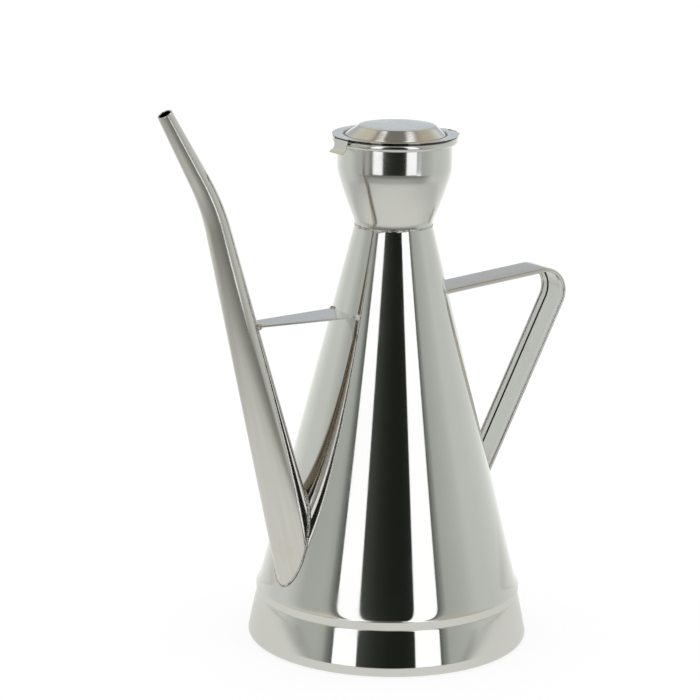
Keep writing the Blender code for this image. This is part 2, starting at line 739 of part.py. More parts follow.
def lid():
    top = LID_TOP_HEIGHT
    flange_inside = LID_RADIUS - LID_FLANGE_WIDTH
    groove_outside = flange_inside - LID_GROOVE_SLOPE_WIDTH
    groove_inside = groove_outside - LID_GROOVE_WIDTH
    dome_foot = groove_inside - LID_GROOVE_DEPTH
    dome_top = dome_foot - LID_DOME_SIDE_WIDTH
    edge_drop = LID_DOME_EDGE / 2 * LID_DOME_RISE / LID_DOME_SIDE_WIDTH
    upper = [
        (0, top + LID_DOME_RISE + LID_CROWN),
        (dome_top - LID_DOME_EDGE, top + LID_DOME_RISE),
        (dome_top + LID_DOME_EDGE / 2, top + LID_DOME_RISE - edge_drop),
        (dome_foot, top),
        (groove_inside, top - LID_GROOVE_DEPTH),
        (groove_outside, top - LID_GROOVE_DEPTH),
        (flange_inside, top),
        (LID_RADIUS, top),
    ]
    lower = offset_right(upper, LID_SHEET)
    lower[0] = (0, lower[0][1])
    shape, rings = turned(upper + lower[::-1], LID_SEGMENTS)
    rim_top, rim_bottom = rings[len(upper) - 1], rings[len(upper)]
    for ring in rings[:3] + rings[-3:]:
        for vertex in ring:
            vertex.co.x += LID_DOME_OFFSET
    reach, height = hinge_axis()
    back_edge = reach - KNUCKLE_RADIUS - LID_BACK_CLEARANCE
    for vertex in rim_top + rim_bottom:
        square_off(vertex, back_edge)
    half_turn = LID_SEGMENTS // 2
    tab_columns = range(half_turn - 2, half_turn + 3)
    ear_columns = range(-1, 2)
    for columns, maker in ((tab_columns, tab_stations), (ear_columns, ear_stations)):
        top_row = [rim_top[column] for column in columns]
        bottom_row = [rim_bottom[column] for column in columns]
        clear_rim(shape, top_row, bottom_row)
        grow_strip(shape, top_row, bottom_row, maker(top_row))
    add_object("lid", shape, SATIN, origin=(reach, 0, height))


# Lid hinge: a bracket welded under the rolled rim, and a pin through its knuckles and the lid's ear

def notch_cutter():
    """Room for the lid's ear between the bracket's two knuckles."""
    reach, height = hinge_axis()
    half = EAR_WIDTH / 2 + FIT_GAP
    low = CURL_HEIGHT - CURL_RADIUS - BRACKET_SHELF_GAP + NOTCH_ROOT_RISE
    high = height + KNUCKLE_RADIUS + CUT_OVERRUN
    near = reach - KNUCKLE_RADIUS - FIT_GAP
    far = reach + KNUCKLE_RADIUS + CUT_OVERRUN
    return add_cutter("ear_notch", tube([box_section(x, half, low, high) for x in (near, far)]))


def hinge_bracket():
    reach, height = hinge_axis()
    bore = KNUCKLE_RADIUS - LID_SHEET
    shelf = CURL_HEIGHT - CURL_RADIUS - BRACKET_SHELF_GAP
    wall = CUP_WALL_RADIUS + FIT_GAP
    upright = reach + bore
    face = [
        (wall, shelf - BRACKET_HEIGHT),
        (wall, shelf - BRACKET_BEND),
        (wall + BRACKET_BEND, shelf),
        (upright - BRACKET_BEND, shelf),
        (upright, shelf + BRACKET_BEND),
    ]
    face += round_corner((reach, height), bore, 0, KNUCKLE_WRAP_DEG)
    back = offset_right(face, LID_SHEET)
    sections = []
    for near_point, far_point in zip(face, back):
        sections.append([(x, across, z) for (x, z), across in (
            (near_point, -HINGE_WIDTH / 2), (near_point, HINGE_WIDTH / 2),
            (far_point, HINGE_WIDTH / 2), (far_point, -HINGE_WIDTH / 2))])
    bracket = add_object("lid_hinge_bracket", tube(sections), BRUSHED)
    boolean(bracket, notch_cutter(), "DIFFERENCE")


def hinge_pin():
    reach, height = hinge_axis()
    corners = 12
    sections = []
    for across in (-HINGE_WIDTH / 2, HINGE_WIDTH / 2):
        sections.append([(reach + PIN_RADIUS * math.cos(2 * math.pi * index / corners), across,
                          height + PIN_RADIUS * math.sin(2 * math.pi * index / corners))
                         for index in range(corners)])
    add_object("lid_hinge_pin", tube(sections), BRUSHED, origin=(reach, 0, height))


def main():
    for item in list(bpy.data.objects):
        bpy.data.objects.remove(item)
    route = SpoutRoute()
    cone_solid = cone_envelope()
    spout_solid = spout_envelope(route)
    body_cone(port_cutter())
    base_pan()
    filling_cup()
    neck_weld()
    spout_tube(route, cone_solid)
    spout_weld(route)
    span = BridgeSpan(route)
    bridge_plate(span, cone_solid, spout_solid)
    bridge_tacks(span)
    handle_strip(cone_solid)
    lid()
    hinge_bracket()
    hinge_pin()


main()
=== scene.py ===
import math

import bmesh
import bpy
from mathutils import Matrix, Vector, noise


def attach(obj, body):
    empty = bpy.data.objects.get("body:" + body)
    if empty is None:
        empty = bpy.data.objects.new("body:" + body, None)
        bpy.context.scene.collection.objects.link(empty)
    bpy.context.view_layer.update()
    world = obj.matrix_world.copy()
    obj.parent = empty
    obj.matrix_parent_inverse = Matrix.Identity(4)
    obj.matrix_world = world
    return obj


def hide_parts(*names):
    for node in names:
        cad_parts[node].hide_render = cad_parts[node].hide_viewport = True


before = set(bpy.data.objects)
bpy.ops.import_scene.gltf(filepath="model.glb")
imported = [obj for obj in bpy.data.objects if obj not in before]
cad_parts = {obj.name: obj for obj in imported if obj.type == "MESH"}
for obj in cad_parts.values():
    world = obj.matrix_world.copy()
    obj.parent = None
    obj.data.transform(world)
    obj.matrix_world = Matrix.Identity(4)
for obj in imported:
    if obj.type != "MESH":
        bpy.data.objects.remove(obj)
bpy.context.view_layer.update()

# Camera. It stands a little over a metre away, above the lid's height, and looks slightly down. The spout
# comes forward on the left of the picture and the handle goes back on the right.
CAMERA_PLACE = Vector((-0.6106, -0.9053, 0.3798))
CAMERA_BEARING_DEG = -33.1535
CAMERA_PITCH_DEG = 13.625
CAMERA_ROLL_DEG = 0.8289
CAMERA_LENS_MM = 148.27


def placed(name, data):
    """A new object in the scene."""
    made = bpy.data.objects.new(name, data)
    bpy.context.scene.collection.objects.link(made)
    return made


lens = bpy.data.cameras.new("camera")
lens.lens = CAMERA_LENS_MM
camera = placed("camera", lens)
camera.matrix_world = (
    Matrix.Translation(CAMERA_PLACE)
    @ Matrix.Rotation(math.radians(CAMERA_BEARING_DEG), 4, "Z")
    @ Matrix.Rotation(math.radians(90 - CAMERA_PITCH_DEG), 4, "X")
    @ Matrix.Rotation(math.radians(CAMERA_ROLL_DEG), 4, "Z")
)
bpy.context.scene.camera = camera


# Base pan. One pan deep-drawn from stainless sheet and polished, joggled at the top so that it plugs
# into the lip of the cone, with a rounded standing edge and a shallow pressed ring in its flat bottom.
SHEET = 0.0006
FIT_GAP = 0.0003
BASE_RADIUS = 0.0550
BASE_EDGE_RADIUS = 0.0022
SKIRT_HEIGHT = 0.0182
SKIRT_STEP = 0.0002
PLUG_HEIGHT = 0.0024
LIP_RADIUS = 0.0520
PRESSED_RING_INSET = 0.0103
PRESSED_RING_WIDTH = 0.0050
PRESSED_RING_SLOPE = 0.0010
PRESSED_RING_RISE = 0.0008
WALL_SEGMENTS = 192
POLISHED_COLOUR = (0.780, 0.783, 0.765, 1)


class Signal:
    """A number, colour or direction inside a material; arithmetic on it adds Math nodes."""

    def __init__(self, tree, socket=None):
        self.tree = tree
        self.socket = socket

    def node(self, kind, settings, inputs, output=0):
        """Add a node, its settings first, then values or signals for its sockets."""
        made = self.tree.nodes.new(kind)
        for name, value in settings.items():
            setattr(made, name, value)
        for name, value in inputs.items():
            if isinstance(value, Signal):
                self.tree.links.new(value.socket, made.inputs[name])
            else:
                made.inputs[name].default_value = value
        return Signal(self.tree, made.outputs[output])

    def math(self, operation, *values):
        return self.node("ShaderNodeMath", {"operation": operation}, dict(enumerate(values)))

    def __add__(self, other):
        return self.math("ADD", self, other)

    def __radd__(self, other):
        return self.math("ADD", other, self)

    def __sub__(self, other):
        return self.math("SUBTRACT", self, other)

    def __rsub__(self, other):
        return self.math("SUBTRACT", other, self)

    def __mul__(self, other):
        return self.math("MULTIPLY", self, other)

    def __truediv__(self, other):
        return self.math("DIVIDE", self, other)

    def __abs__(self):
        return self.math("ABSOLUTE", self)

    def between(self, start, end):
        """How far the value has come from start to end, held within 0 and 1, with soft ends."""
        inputs = {"Value": self, "From Min": start, "From Max": end}
        return self.node("ShaderNodeMapRange", {"interpolation_type": "SMOOTHSTEP"}, inputs)

    def blend(self, first, second):
        """The first colour where the value is 0 and the second where it is 1."""
        return self.node("ShaderNodeMix", {"data_type": "RGBA"}, {0: self, 6: first, 7: second}, 2)

    def ramp(self, stops):
        """The colour that the value picks from a row of (value, colour) stops."""
        made = self.tree.nodes.new("ShaderNodeValToRGB")
        self.feed(made, "Fac")
        elements = made.color_ramp.elements
        while len(elements) < len(stops):
            elements.new(0.5)
        for element, (position, colour) in zip(elements, stops):
            element.position = position
            element.color = (*colour, 1)
        return Signal(self.tree, made.outputs["Color"])

    def noise(self, scale, detail=2.0, roughness=0.5):
        """Seamless noise about 0.5, by place in metres."""
        inputs = {"Vector": self, "Scale": scale, "Detail": detail, "Roughness": roughness}
        return self.node("ShaderNodeTexNoise", {}, inputs, "Fac")

    def squeezed(self, x, y, z):
        """The place with each direction stretched or squeezed before noise reads it."""
        return self.node("ShaderNodeVectorMath", {"operation": "MULTIPLY"}, {0: self, 1: (x, y, z)})

    def scaled(self, factor):
        """A colour made lighter or darker as a whole."""
        return self.node("ShaderNodeVectorMath", {"operation": "SCALE"}, {0: self, "Scale": factor})

    def attribute(self, name):
        return self.node("ShaderNodeAttribute", {"attribute_name": name}, {}, "Fac")

    def ray(self, kind):
        """1 for light of this kind, otherwise 0."""
        return self.node("ShaderNodeLightPath", {}, {}, f"Is {kind} Ray")

    def axis(self, letter):
        return self.node("ShaderNodeSeparateXYZ", {}, {"Vector": self}, letter)

    def feed(self, shader, name):
        self.tree.links.new(self.socket, shader.inputs[name])


def bare_steel(name):
    """A metal and the place on it in metres, for a finish to add its colour and its marks."""
    material = bpy.data.materials.new(name)
    material.use_nodes = True
    shader = material.node_tree.nodes["Principled BSDF"]
    shader.inputs["Metallic"].default_value = 1.0
    place = Signal(material.node_tree).node("ShaderNodeTexCoord", {}, {}, "Object")
    return material, shader, place


def emboss(height, shader, distance):
    """Feed a height, counted in the given distance, to the shader as a bump."""
    bump = height.node("ShaderNodeBump", {}, {"Distance": distance, "Height": height})
    bump.feed(shader, "Normal")


def mirror_polish(name, waviness):
    """Buffed steel: a few long waves left from forming, fine rings from the buff, faint smudges."""
    material, shader, place = bare_steel(name)
    smudge = place.noise(38, 3).between(0.48, 0.72)
    rings = place.squeezed(0.15, 0.15, 1).noise(2600, 2)
    (0.045 + smudge * 0.05 + rings * 0.02).feed(shader, "Roughness")
    dull = tuple(channel * 0.965 for channel in POLISHED_COLOUR)
    place.noise(22, 2).between(0.3, 0.7).blend(POLISHED_COLOUR, dull).feed(shader, "Base Color")
    waves = place.squeezed(1, 1, 0.35).noise(55, 1)
    emboss(waves * waviness + rings * 0.0006, shader, 0.001)
    return material


def offset_right(path, distance):
    """The path moved to the right of its own direction, with mitred corners."""
    normals = []
    for (r0, z0), (r1, z1) in zip(path, path[1:]):
        length = math.hypot(r1 - r0, z1 - z0)
        normals.append(((z1 - z0) / length, (r0 - r1) / length))
    moved = []
    for index, (radius, height) in enumerate(path):
        before = normals[max(index - 1, 0)]
        after = normals[min(index, len(normals) - 1)]
        middle = (before[0] + after[0], before[1] + after[1])
        scale = 2 * distance / (middle[0] ** 2 + middle[1] ** 2)
        moved.append((radius + middle[0] * scale, height + middle[1] * scale))
    return moved


def curve(start, knee, end, steps):
    """Points of a soft curve that leans towards its knee, both ends included."""
    shares = [step / steps for step in range(steps + 1)]
    return [tuple(start.lerp(knee, share).lerp(knee.lerp(end, share), share)) for share in shares]


def eased(path, reaches, steps=5):
    """The path with its numbered corners rounded, starting the given reach before each."""
    points = []
    for index, point in enumerate(path):
        corner = Vector(point)
        if index in reaches:
            near, far = [corner.lerp(end, min(reaches[index] / (end - corner).length, 0.5))
                         for end in (Vector(path[index - 1]), Vector(path[index + 1]))]
            points += curve(near, corner, far, steps)
        else:
            points.append(tuple(corner))
    return [point for before, point in zip([(-1, -1)] + points, points) if math.dist(before, point) > 1e-7]


def divided(path, longest):
    """The path with its long runs divided evenly."""
    points = [path[0]]
    for start, end in zip(path, path[1:]):
        start, end = Vector(start), Vector(end)
        count = math.ceil((end - start).length / longest - 1e-6)
        points += [tuple(start.lerp(end, step / count)) for step in range(1, count + 1)]
    return points


def arc(centre, radius, start_deg, end_deg, steps):
    """Points of an arc, both ends included."""
    turns = [math.radians(start_deg + (end_deg - start_deg) * step / steps) for step in range(steps + 1)]
    return [(centre[0] + radius * math.cos(turn), centre[1] + radius * math.sin(turn)) for turn in turns]


def full_turn(count):
    """Evenly spaced angles of one full turn."""
    return [2 * math.pi * index / count for index in range(count)]


def skin(shape, low, high, closed=True):
    """Faces between two rows of vertices; a row of one vertex is a pole."""
    count = max(len(low), len(high))
    for index in range(count if closed else count - 1):
        following = (index + 1) % count
        corners = []
        for row, column in ((low, index), (low, following), (high, following), (high, index)):
            corner = row[column % len(row)]
            if corner not in corners:
                corners.append(corner)
        if len(corners) > 2:
            shape.faces.new(corners)


def skinned(shape, sections, closed=True):
    """Skin sections of points into a ring, or into a run with a face over each end."""
    rings = [[shape.verts.new(point) for point in section] for section in sections]
    for low, high in zip(rings, rings[1:] + (rings[:1] if closed else [])):
        skin(shape, low, high)
    if not closed:
        shape.faces.new(rings[0])
        shape.faces.new(rings[-1])
    return rings


def spun(outline, segments):
    """Spin a closed outline of (radius, height) points round the upright axis."""
    shape = bmesh.new()
    sections = []
    for radius, height in outline:
        turns = full_turn(segments) if radius else [0]
        sections.append([(radius * math.cos(turn), radius * math.sin(turn), height) for turn in turns])
    return shape, skinned(shape, sections)


def piece(name, shape, finish, node, body="vessel", sharp_deg=32):
    """Store a closed form as a smooth-shaded piece that stands for its CAD node."""
    bmesh.ops.recalc_face_normals(shape, faces=shape.faces)
    mesh = bpy.data.meshes.new(name)
    shape.to_mesh(mesh)
    shape.free()
    mesh.shade_smooth()
    mesh.set_sharp_from_angle(angle=math.radians(sharp_deg))
    mesh.materials.append(finish)
    made = placed(name, mesh)
    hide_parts(node)
    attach(made, body)
    return made


plug_radius = LIP_RADIUS - SHEET - FIT_GAP
flat_end = BASE_RADIUS - BASE_EDGE_RADIUS
ring_outside = flat_end - PRESSED_RING_INSET
ring_inside = ring_outside - PRESSED_RING_WIDTH
pan_outside = [
    (plug_radius, SKIRT_HEIGHT + PLUG_HEIGHT),
    (plug_radius, SKIRT_HEIGHT - SKIRT_STEP),
    (LIP_RADIUS - SKIRT_STEP, SKIRT_HEIGHT - SKIRT_STEP),
    *arc((flat_end, BASE_EDGE_RADIUS), BASE_EDGE_RADIUS, 0, -90, 10),
    (ring_outside, 0),
    (ring_outside - PRESSED_RING_SLOPE, PRESSED_RING_RISE),
    (ring_inside + PRESSED_RING_SLOPE, PRESSED_RING_RISE),
    (ring_inside, 0),
    (0, 0),
]
ring_corners = range(len(pan_outside) - 5, len(pan_outside) - 1)
pan_bends = {1: 0.00015, 2: 0.00045, **dict.fromkeys(ring_corners, 0.0006)}
pan_outside = divided(eased(pan_outside, pan_bends), 0.0025)
pan_inside = offset_right(pan_outside, SHEET)
pan_inside[-1] = (0, pan_inside[-1][1])
pan_shape, _ = spun(pan_outside + pan_inside[::-1], WALL_SEGMENTS)
piece("base_pan_drawn", pan_shape, mirror_polish("pan_polish", 0.004), "base_pan")


# Body cone. Stainless sheet rolled into a cone and seam-welded, its foot flared into a rounded lip that
# is tucked in over the pan. A round port in the wall opens into the foot of the spout.
LIP_UNDERCUT = 0.00028
LIP_FOOT_HEIGHT = SKIRT_HEIGHT + FIT_GAP
LIP_TOP_HEIGHT = LIP_FOOT_HEIGHT + 0.0028
CONE_FOOT_HEIGHT = LIP_TOP_HEIGHT + 0.0047
CONE_FOOT_RADIUS = LIP_RADIUS - 0.0021
CONE_HEIGHT = 0.1392
NECK_RADIUS = 0.0151
NECK_HEIGHT = CONE_FOOT_HEIGHT + CONE_HEIGHT
FLARE_KNEE_DROP = 0.003525
PORT_RADIUS = 0.0060
DRILL_LENGTH = 0.006
SPOUT_FOOT_RADIUS = 0.00925
SPOUT_HEEL_RISE = 0.00265
SPOUT_LEAN_DEG = 15.25
cone_slope = (CONE_FOOT_RADIUS - NECK_RADIUS) / CONE_HEIGHT
cone_tilt = math.atan(cone_slope)


def cone_radius(height, clearance=0.0):
    """Outside radius of the cone at a height, or of the surface that clears it."""
    return CONE_FOOT_RADIUS - cone_slope * (height - CONE_FOOT_HEIGHT) + clearance / math.cos(cone_tilt)


heel_drop = SPOUT_FOOT_RADIUS / math.sin(math.radians(SPOUT_LEAN_DEG) + cone_tilt) * math.cos(cone_tilt)
spout_foot_height = CONE_FOOT_HEIGHT + SPOUT_HEEL_RISE + heel_drop
flare_start = Vector((CONE_FOOT_RADIUS, CONE_FOOT_HEIGHT))
knee_height = CONE_FOOT_HEIGHT - FLARE_KNEE_DROP
flare_knee = Vector((cone_radius(knee_height), knee_height))
flare = curve(flare_start, flare_knee, Vector((LIP_RADIUS, LIP_TOP_HEIGHT)), 12)
lip_foot = (LIP_RADIUS - LIP_UNDERCUT, SKIRT_HEIGHT - SKIRT_STEP + 0.00002)
cone_outside = [(NECK_RADIUS, NECK_HEIGHT), *flare, lip_foot]
cone_outside = divided(eased(cone_outside, {len(cone_outside) - 2: 0.0007}, 6), 0.0020)
cone_shape, _ = spun(cone_outside + offset_right(cone_outside, SHEET)[::-1], WALL_SEGMENTS)
cone_piece = piece("body_cone_rolled", cone_shape, mirror_polish("cone_polish", 0.010),
                   "body_cone")
spout_foot = Vector((-cone_radius(spout_foot_height), 0, spout_foot_height))

drill_shape = bmesh.new()
bmesh.ops.create_cone(drill_shape, cap_ends=True, segments=64, radius1=PORT_RADIUS, radius2=PORT_RADIUS,
                      depth=DRILL_LENGTH)
drill_turn = Vector((-math.cos(cone_tilt), 0, math.sin(cone_tilt))).to_track_quat("Z", "Y")
drill_shape.transform(Matrix.Translation(spout_foot) @ drill_turn.to_matrix().to_4x4())
drill_mesh = bpy.data.meshes.new("drill")
drill_shape.to_mesh(drill_mesh)
drill_shape.free()
drill = placed("drill", drill_mesh)
cut = cone_piece.modifiers.new("drill", "BOOLEAN")
cut.object = drill
bpy.context.view_layer.update()
drilled_cone = cone_piece.evaluated_get(bpy.context.evaluated_depsgraph_get())
drilled_mesh = bpy.data.meshes.new_from_object(drilled_cone)
cone_piece.modifiers.clear()
cone_piece.data = drilled_mesh
bpy.data.objects.remove(drill)


# Filling cup. A funnel spun from stainless sheet: its spigot slides into the neck, its wall swells out
# to an upright collar, and the mouth is rolled outwards into a hollow bead for strength.
CUP_WALL_RADIUS = 0.0220
CURL_RADIUS = 0.00135
SPIGOT_LENGTH = 0.0040
CUP_SEGMENTS = 160
THROAT_HEIGHT = NECK_HEIGHT + 0.0020
TAPER_HEIGHT = THROAT_HEIGHT + 0.0170
WALL_FOOT_HEIGHT = TAPER_HEIGHT + 0.0053
CURL_HEIGHT = WALL_FOOT_HEIGHT + 0.00905
CURL_REACH = CUP_WALL_RADIUS - SHEET + CURL_RADIUS
spigot_radius = NECK_RADIUS - SHEET / math.cos(cone_tilt) - FIT_GAP


def spun_polish(name):
    """Buffed a little less than the cone: soft rings left by the spinning, smudges near the mouth."""
    material, shader, place = bare_steel(name)
    smudge = place.noise(60, 3).between(0.45, 0.75)
    rings = place.squeezed(0.1, 0.1, 1).noise(1900, 2)
    (0.105 + smudge * 0.06 + rings * 0.03).feed(shader, "Roughness")
    dull = tuple(channel * 0.955 for channel in POLISHED_COLOUR)
    place.noise(35, 2).between(0.3, 0.7).blend(POLISHED_COLOUR, dull).feed(shader, "Base Color")
    waves = place.squeezed(1, 1, 0.5).noise(90, 1)
    emboss(waves * 0.012 + rings * 0.0015, shader, 0.001)
    return material


taper_start = Vector((NECK_RADIUS + 0.0001, THROAT_HEIGHT))
taper_end = Vector((CUP_WALL_RADIUS - 0.0007, TAPER_HEIGHT))
bulge = taper_start.lerp(taper_end, 0.55) + Vector((0.0003, 0))
wall_foot = Vector((CUP_WALL_RADIUS, WALL_FOOT_HEIGHT - 0.0020))
knee = taper_end.lerp(wall_foot, 0.5) + Vector((0.00002, 0))
cup_outside = [
    (spigot_radius, NECK_HEIGHT - SPIGOT_LENGTH),
    (spigot_radius, NECK_HEIGHT + 0.0001),
    (NECK_RADIUS, NECK_HEIGHT + 0.0001),
    taper_start, bulge, taper_end, knee, wall_foot,
    (CUP_WALL_RADIUS, CURL_HEIGHT),
]
cup_bends = {3: 0.0012, 4: 0.0060, 5: 0.0016, 6: 0.0009, 7: 0.0009}
cup_face = offset_right(divided(eased(cup_outside, cup_bends, 6), 0.0016)[:-1], -SHEET)
cup_face += arc((CURL_REACH, CURL_HEIGHT), CURL_RADIUS, 180, -100, 26)
cup_shape, _ = spun(cup_face + offset_right(cup_face, SHEET)[::-1], CUP_SEGMENTS)
piece("filling_cup_spun", cup_shape, spun_polish("cup_polish"), "filling_cup")


# Neck weld. The thin bead that joins the cup to the neck: one turn of melted steel, nearly flush, uneven
# in width, and lumpy on the side where its start and its end overlap.
OVERLAP_DEG = 214
OVERLAP_SPREAD_DEG = 58


def weld_steel(name):
    """Melted and frozen steel: bright and rippled on its crown, with painted shade in the troughs of its
    ripples and a painted dark reflection along both of its toes.
    """
    material, shader, place = bare_steel(name)
    ripple = place.noise(1100, 3, 0.6)
    patch = place.noise(300, 2)
    (0.12 + patch.between(0.35, 0.7) * 0.16 + ripple * 0.06).feed(shader, "Roughness")
    tint = patch.between(0.45, 0.70).blend((0.76, 0.75, 0.73, 1), (0.58, 0.55, 0.50, 1))
    # Painted shade: where the ripple bump is low, in its troughs, the colour turns dark.
    trough_shade = ripple.between(0.46, 0.34).blend(tint, (0.20, 0.19, 0.17, 1))
    # Painted reflection: points marked toward a toe are coloured near black, as the bead's steep sides
    # would mirror dark surroundings there.
    toe = place.attribute("toe")
    toe.between(0.30, 0.85).blend(trough_shade, (0.115, 0.110, 0.100, 1)).feed(shader, "Base Color")
    emboss(ripple + patch * 0.6, shader, 0.00022)
    return material


def weld_ring(sections, darkening, closed=True):
    """Skin sections into a ring or a capped run; darkening gives each point's weight in the toe attribute:
    a painted dark reflection at weld toes, painted shade at hem steps, and the spout's scorched seam.
    """
    shape = bmesh.new()
    layer = shape.verts.layers.float.new("toe")
    for ring in skinned(shape, sections, closed):
        for vertex, toe in zip(ring, darkening):
            vertex[layer] = toe
    return shape


def lumpiness(place, scale, seed):
    """How far a bead's size strays at a place, from about -1 to 1, the same in every run."""
    return noise.noise(place * scale + Vector((seed, seed * 2, seed * 3))) * 1.6


weld_finish = weld_steel("weld_bead")
neck_turns = full_turn(14)
neck_sections = []
for angle in full_turn(480):
    spoke = Vector((math.cos(angle), math.sin(angle), 0))
    from_overlap = abs((angle - math.radians(OVERLAP_DEG) + math.pi) % (2 * math.pi) - math.pi)
    lump = max(0.0, 1 - from_overlap / math.radians(OVERLAP_SPREAD_DEG)) ** 0.7
    stray = lumpiness(spoke, 8, 1) * 0.6 + lumpiness(spoke, 19, 5) * 0.5
    swell = max(0.0, 0.30 + 0.42 * stray + lump * (0.75 + 0.9 * stray))
    height = Vector((0, 0, 0.00020 + 0.00046 * swell))
    proud = spoke * (0.00008 + 0.00022 * swell)
    drop = 0.00022 * lumpiness(spoke, 5.5, 9) - 0.00020 * lump * (1 + stray)
    centre = spoke * NECK_RADIUS + Vector((0, 0, NECK_HEIGHT + 0.00030 + drop))
    neck_sections.append([centre + proud * math.cos(turn) + height * math.sin(turn) for turn in neck_turns])
# Each point's nearness to a toe, where the weld finish paints a dark reflection.
neck_toe_shade = [abs(math.sin(turn)) ** 3 for turn in neck_turns]
piece("neck_weld_bead", weld_ring(neck_sections, neck_toe_shade), weld_finish, "neck_weld",
      sharp_deg=75)


# Spout. A tapered tube of stainless steel, seamed along its inner side, bent once and polished along its
# length. Its foot is coped to the cone, and its tip is cut square.
SPOUT_RUN_RISE = 0.1330
SPOUT_BEND_RADIUS = 0.0850
SPOUT_TIP_RISE = 0.0356
SPOUT_TIP_LEAN_DEG = 29.5
SPOUT_TIP_RADIUS = 0.00295
SPOUT_COLLAR = 0.022
MOUTH_ROUND = 0.00012
DEEPEST_TOUCH = -0.028
low_lean = math.radians(SPOUT_LEAN_DEG)
high_lean = math.radians(SPOUT_TIP_LEAN_DEG)


def leaning(lean):
    """The direction that leans this far from upright, to the spout's side."""
    return Vector((-math.sin(lean), 0, math.cos(lean)))


low_run, high_run = leaning(low_lean), leaning(high_lean)
bend_turn = high_lean - low_lean
bend_tangent = SPOUT_BEND_RADIUS * math.tan(bend_turn / 2)
bend_start = SPOUT_RUN_RISE / low_run.z - bend_tangent
bend_end = bend_start + SPOUT_BEND_RADIUS * bend_turn
spout_length = bend_end + SPOUT_TIP_RISE / high_run.z - bend_tangent
spout_turns = full_turn(96)


def turned_by(distance):
    """How far the tube has turned at a distance along it from its foot."""
    return min(max((distance - bend_start) / SPOUT_BEND_RADIUS, 0), bend_turn)


def spout_centre(distance):
    """The middle of the tube: a straight run, the bend and a second straight run."""
    half_turn = turned_by(distance) / 2
    chord = 2 * SPOUT_BEND_RADIUS * math.sin(half_turn)
    runs = low_run * min(distance, bend_start) + high_run * max(distance - bend_end, 0)
    return spout_foot + runs + leaning(low_lean + half_turn) * chord


def spout_radius(distance):
    """The outside radius, which tapers evenly from the foot to the tip."""
    return SPOUT_FOOT_RADIUS + (SPOUT_TIP_RADIUS - SPOUT_FOOT_RADIUS) * distance / spout_length


def spout_surface(distance, angle, clearance=0.0):
    """A point on the tube's outside. Angle 0 faces away from the cone and pi faces it."""
    away = leaning(low_lean + turned_by(distance) + math.pi / 2)
    spoke = away * math.cos(angle) + Vector((0, 1, 0)) * math.sin(angle)
    return spout_centre(distance) + spoke * (spout_radius(distance) + clearance)


def meets_cone(place, low, high, clearance=0.0):
    """Distance between low, inside the cone, and high, outside it, at which a line crosses its wall."""
    for _ in range(34):
        middle = (low + high) / 2
        point = place(middle)
        if math.hypot(point.x, point.y) > cone_radius(point.z, clearance):
            high = middle
        else:
            low = middle
    return high


def spout_ring(distance, clearance):
    """The tube's section at a distance from its foot."""
    return [spout_surface(distance, angle, clearance) for angle in spout_turns]


def brushed_tube(name):
    """Polished lengthwise: fine scratches, a warm patch at the foot, and the seam scorched brown inside."""
    material, shader, place = bare_steel(name)
    turned = place.node("ShaderNodeVectorRotate", {"rotation_type": "Y_AXIS"},
                        {"Vector": place, "Angle": low_lean})
    lengthwise = turned.squeezed(1, 1, 0.03)
    scratches = lengthwise.noise(2600, 3, 0.6)
    drift = lengthwise.noise(420, 2)
    (0.055 + scratches * 0.035 + drift.between(0.35, 0.7) * 0.03).feed(shader, "Roughness")
    tone = drift.between(0.3, 0.7).blend((0.750, 0.740, 0.716, 1), (0.712, 0.700, 0.672, 1))
    warmth = place.axis("Z").between(0.058, 0.042) * place.noise(120, 2).between(0.42, 0.66) * 0.35
    tone = warmth.blend(tone, (0.690, 0.630, 0.530, 1))
    seam = place.attribute("toe")
    scorched = (seam + drift * 0.10 - 0.05).between(0.74, 0.98) * place.axis("Z").between(0.192, 0.180)
    scorched.blend(tone, (0.300, 0.262, 0.218, 1)).feed(shader, "Base Color")
    emboss(scratches * 0.6 + drift * 0.5, shader, 0.00002)
    return material


low_stations = [bend_start * step / 44 for step in range(1, 44)]
stations = [SPOUT_COLLAR] + [station for station in low_stations if station > SPOUT_COLLAR + 0.001]
stations += [bend_start + (bend_end - bend_start) * step / 14 for step in range(15)]
stations += [bend_end + (spout_length - bend_end) * step / 16 for step in range(1, 16)]
stations += [spout_length - MOUTH_ROUND]
tube_rows = []
for clearance in (0.0, -SHEET):
    touches = [meets_cone(lambda s: spout_surface(s, angle, clearance), DEEPEST_TOUCH, bend_start)
               for angle in spout_turns]
    rows = [[spout_surface(touch + (SPOUT_COLLAR - touch) * step / 12, angle, clearance)
             for angle, touch in zip(spout_turns, touches)] for step in range(12)]
    tube_rows.append(rows + [spout_ring(station, clearance) for station in stations])
outside_rows, bore_rows = tube_rows
mouth_rows = [spout_ring(spout_length, -MOUTH_ROUND), spout_ring(spout_length, MOUTH_ROUND - SHEET)]
inner_side = [max(0.0, -math.cos(angle)) for angle in spout_turns]
spout_shape = weld_ring(outside_rows + mouth_rows + bore_rows[::-1], inner_side)
piece("spout_tube_bent", spout_shape, brushed_tube("spout_brushing"), "spout_tube")


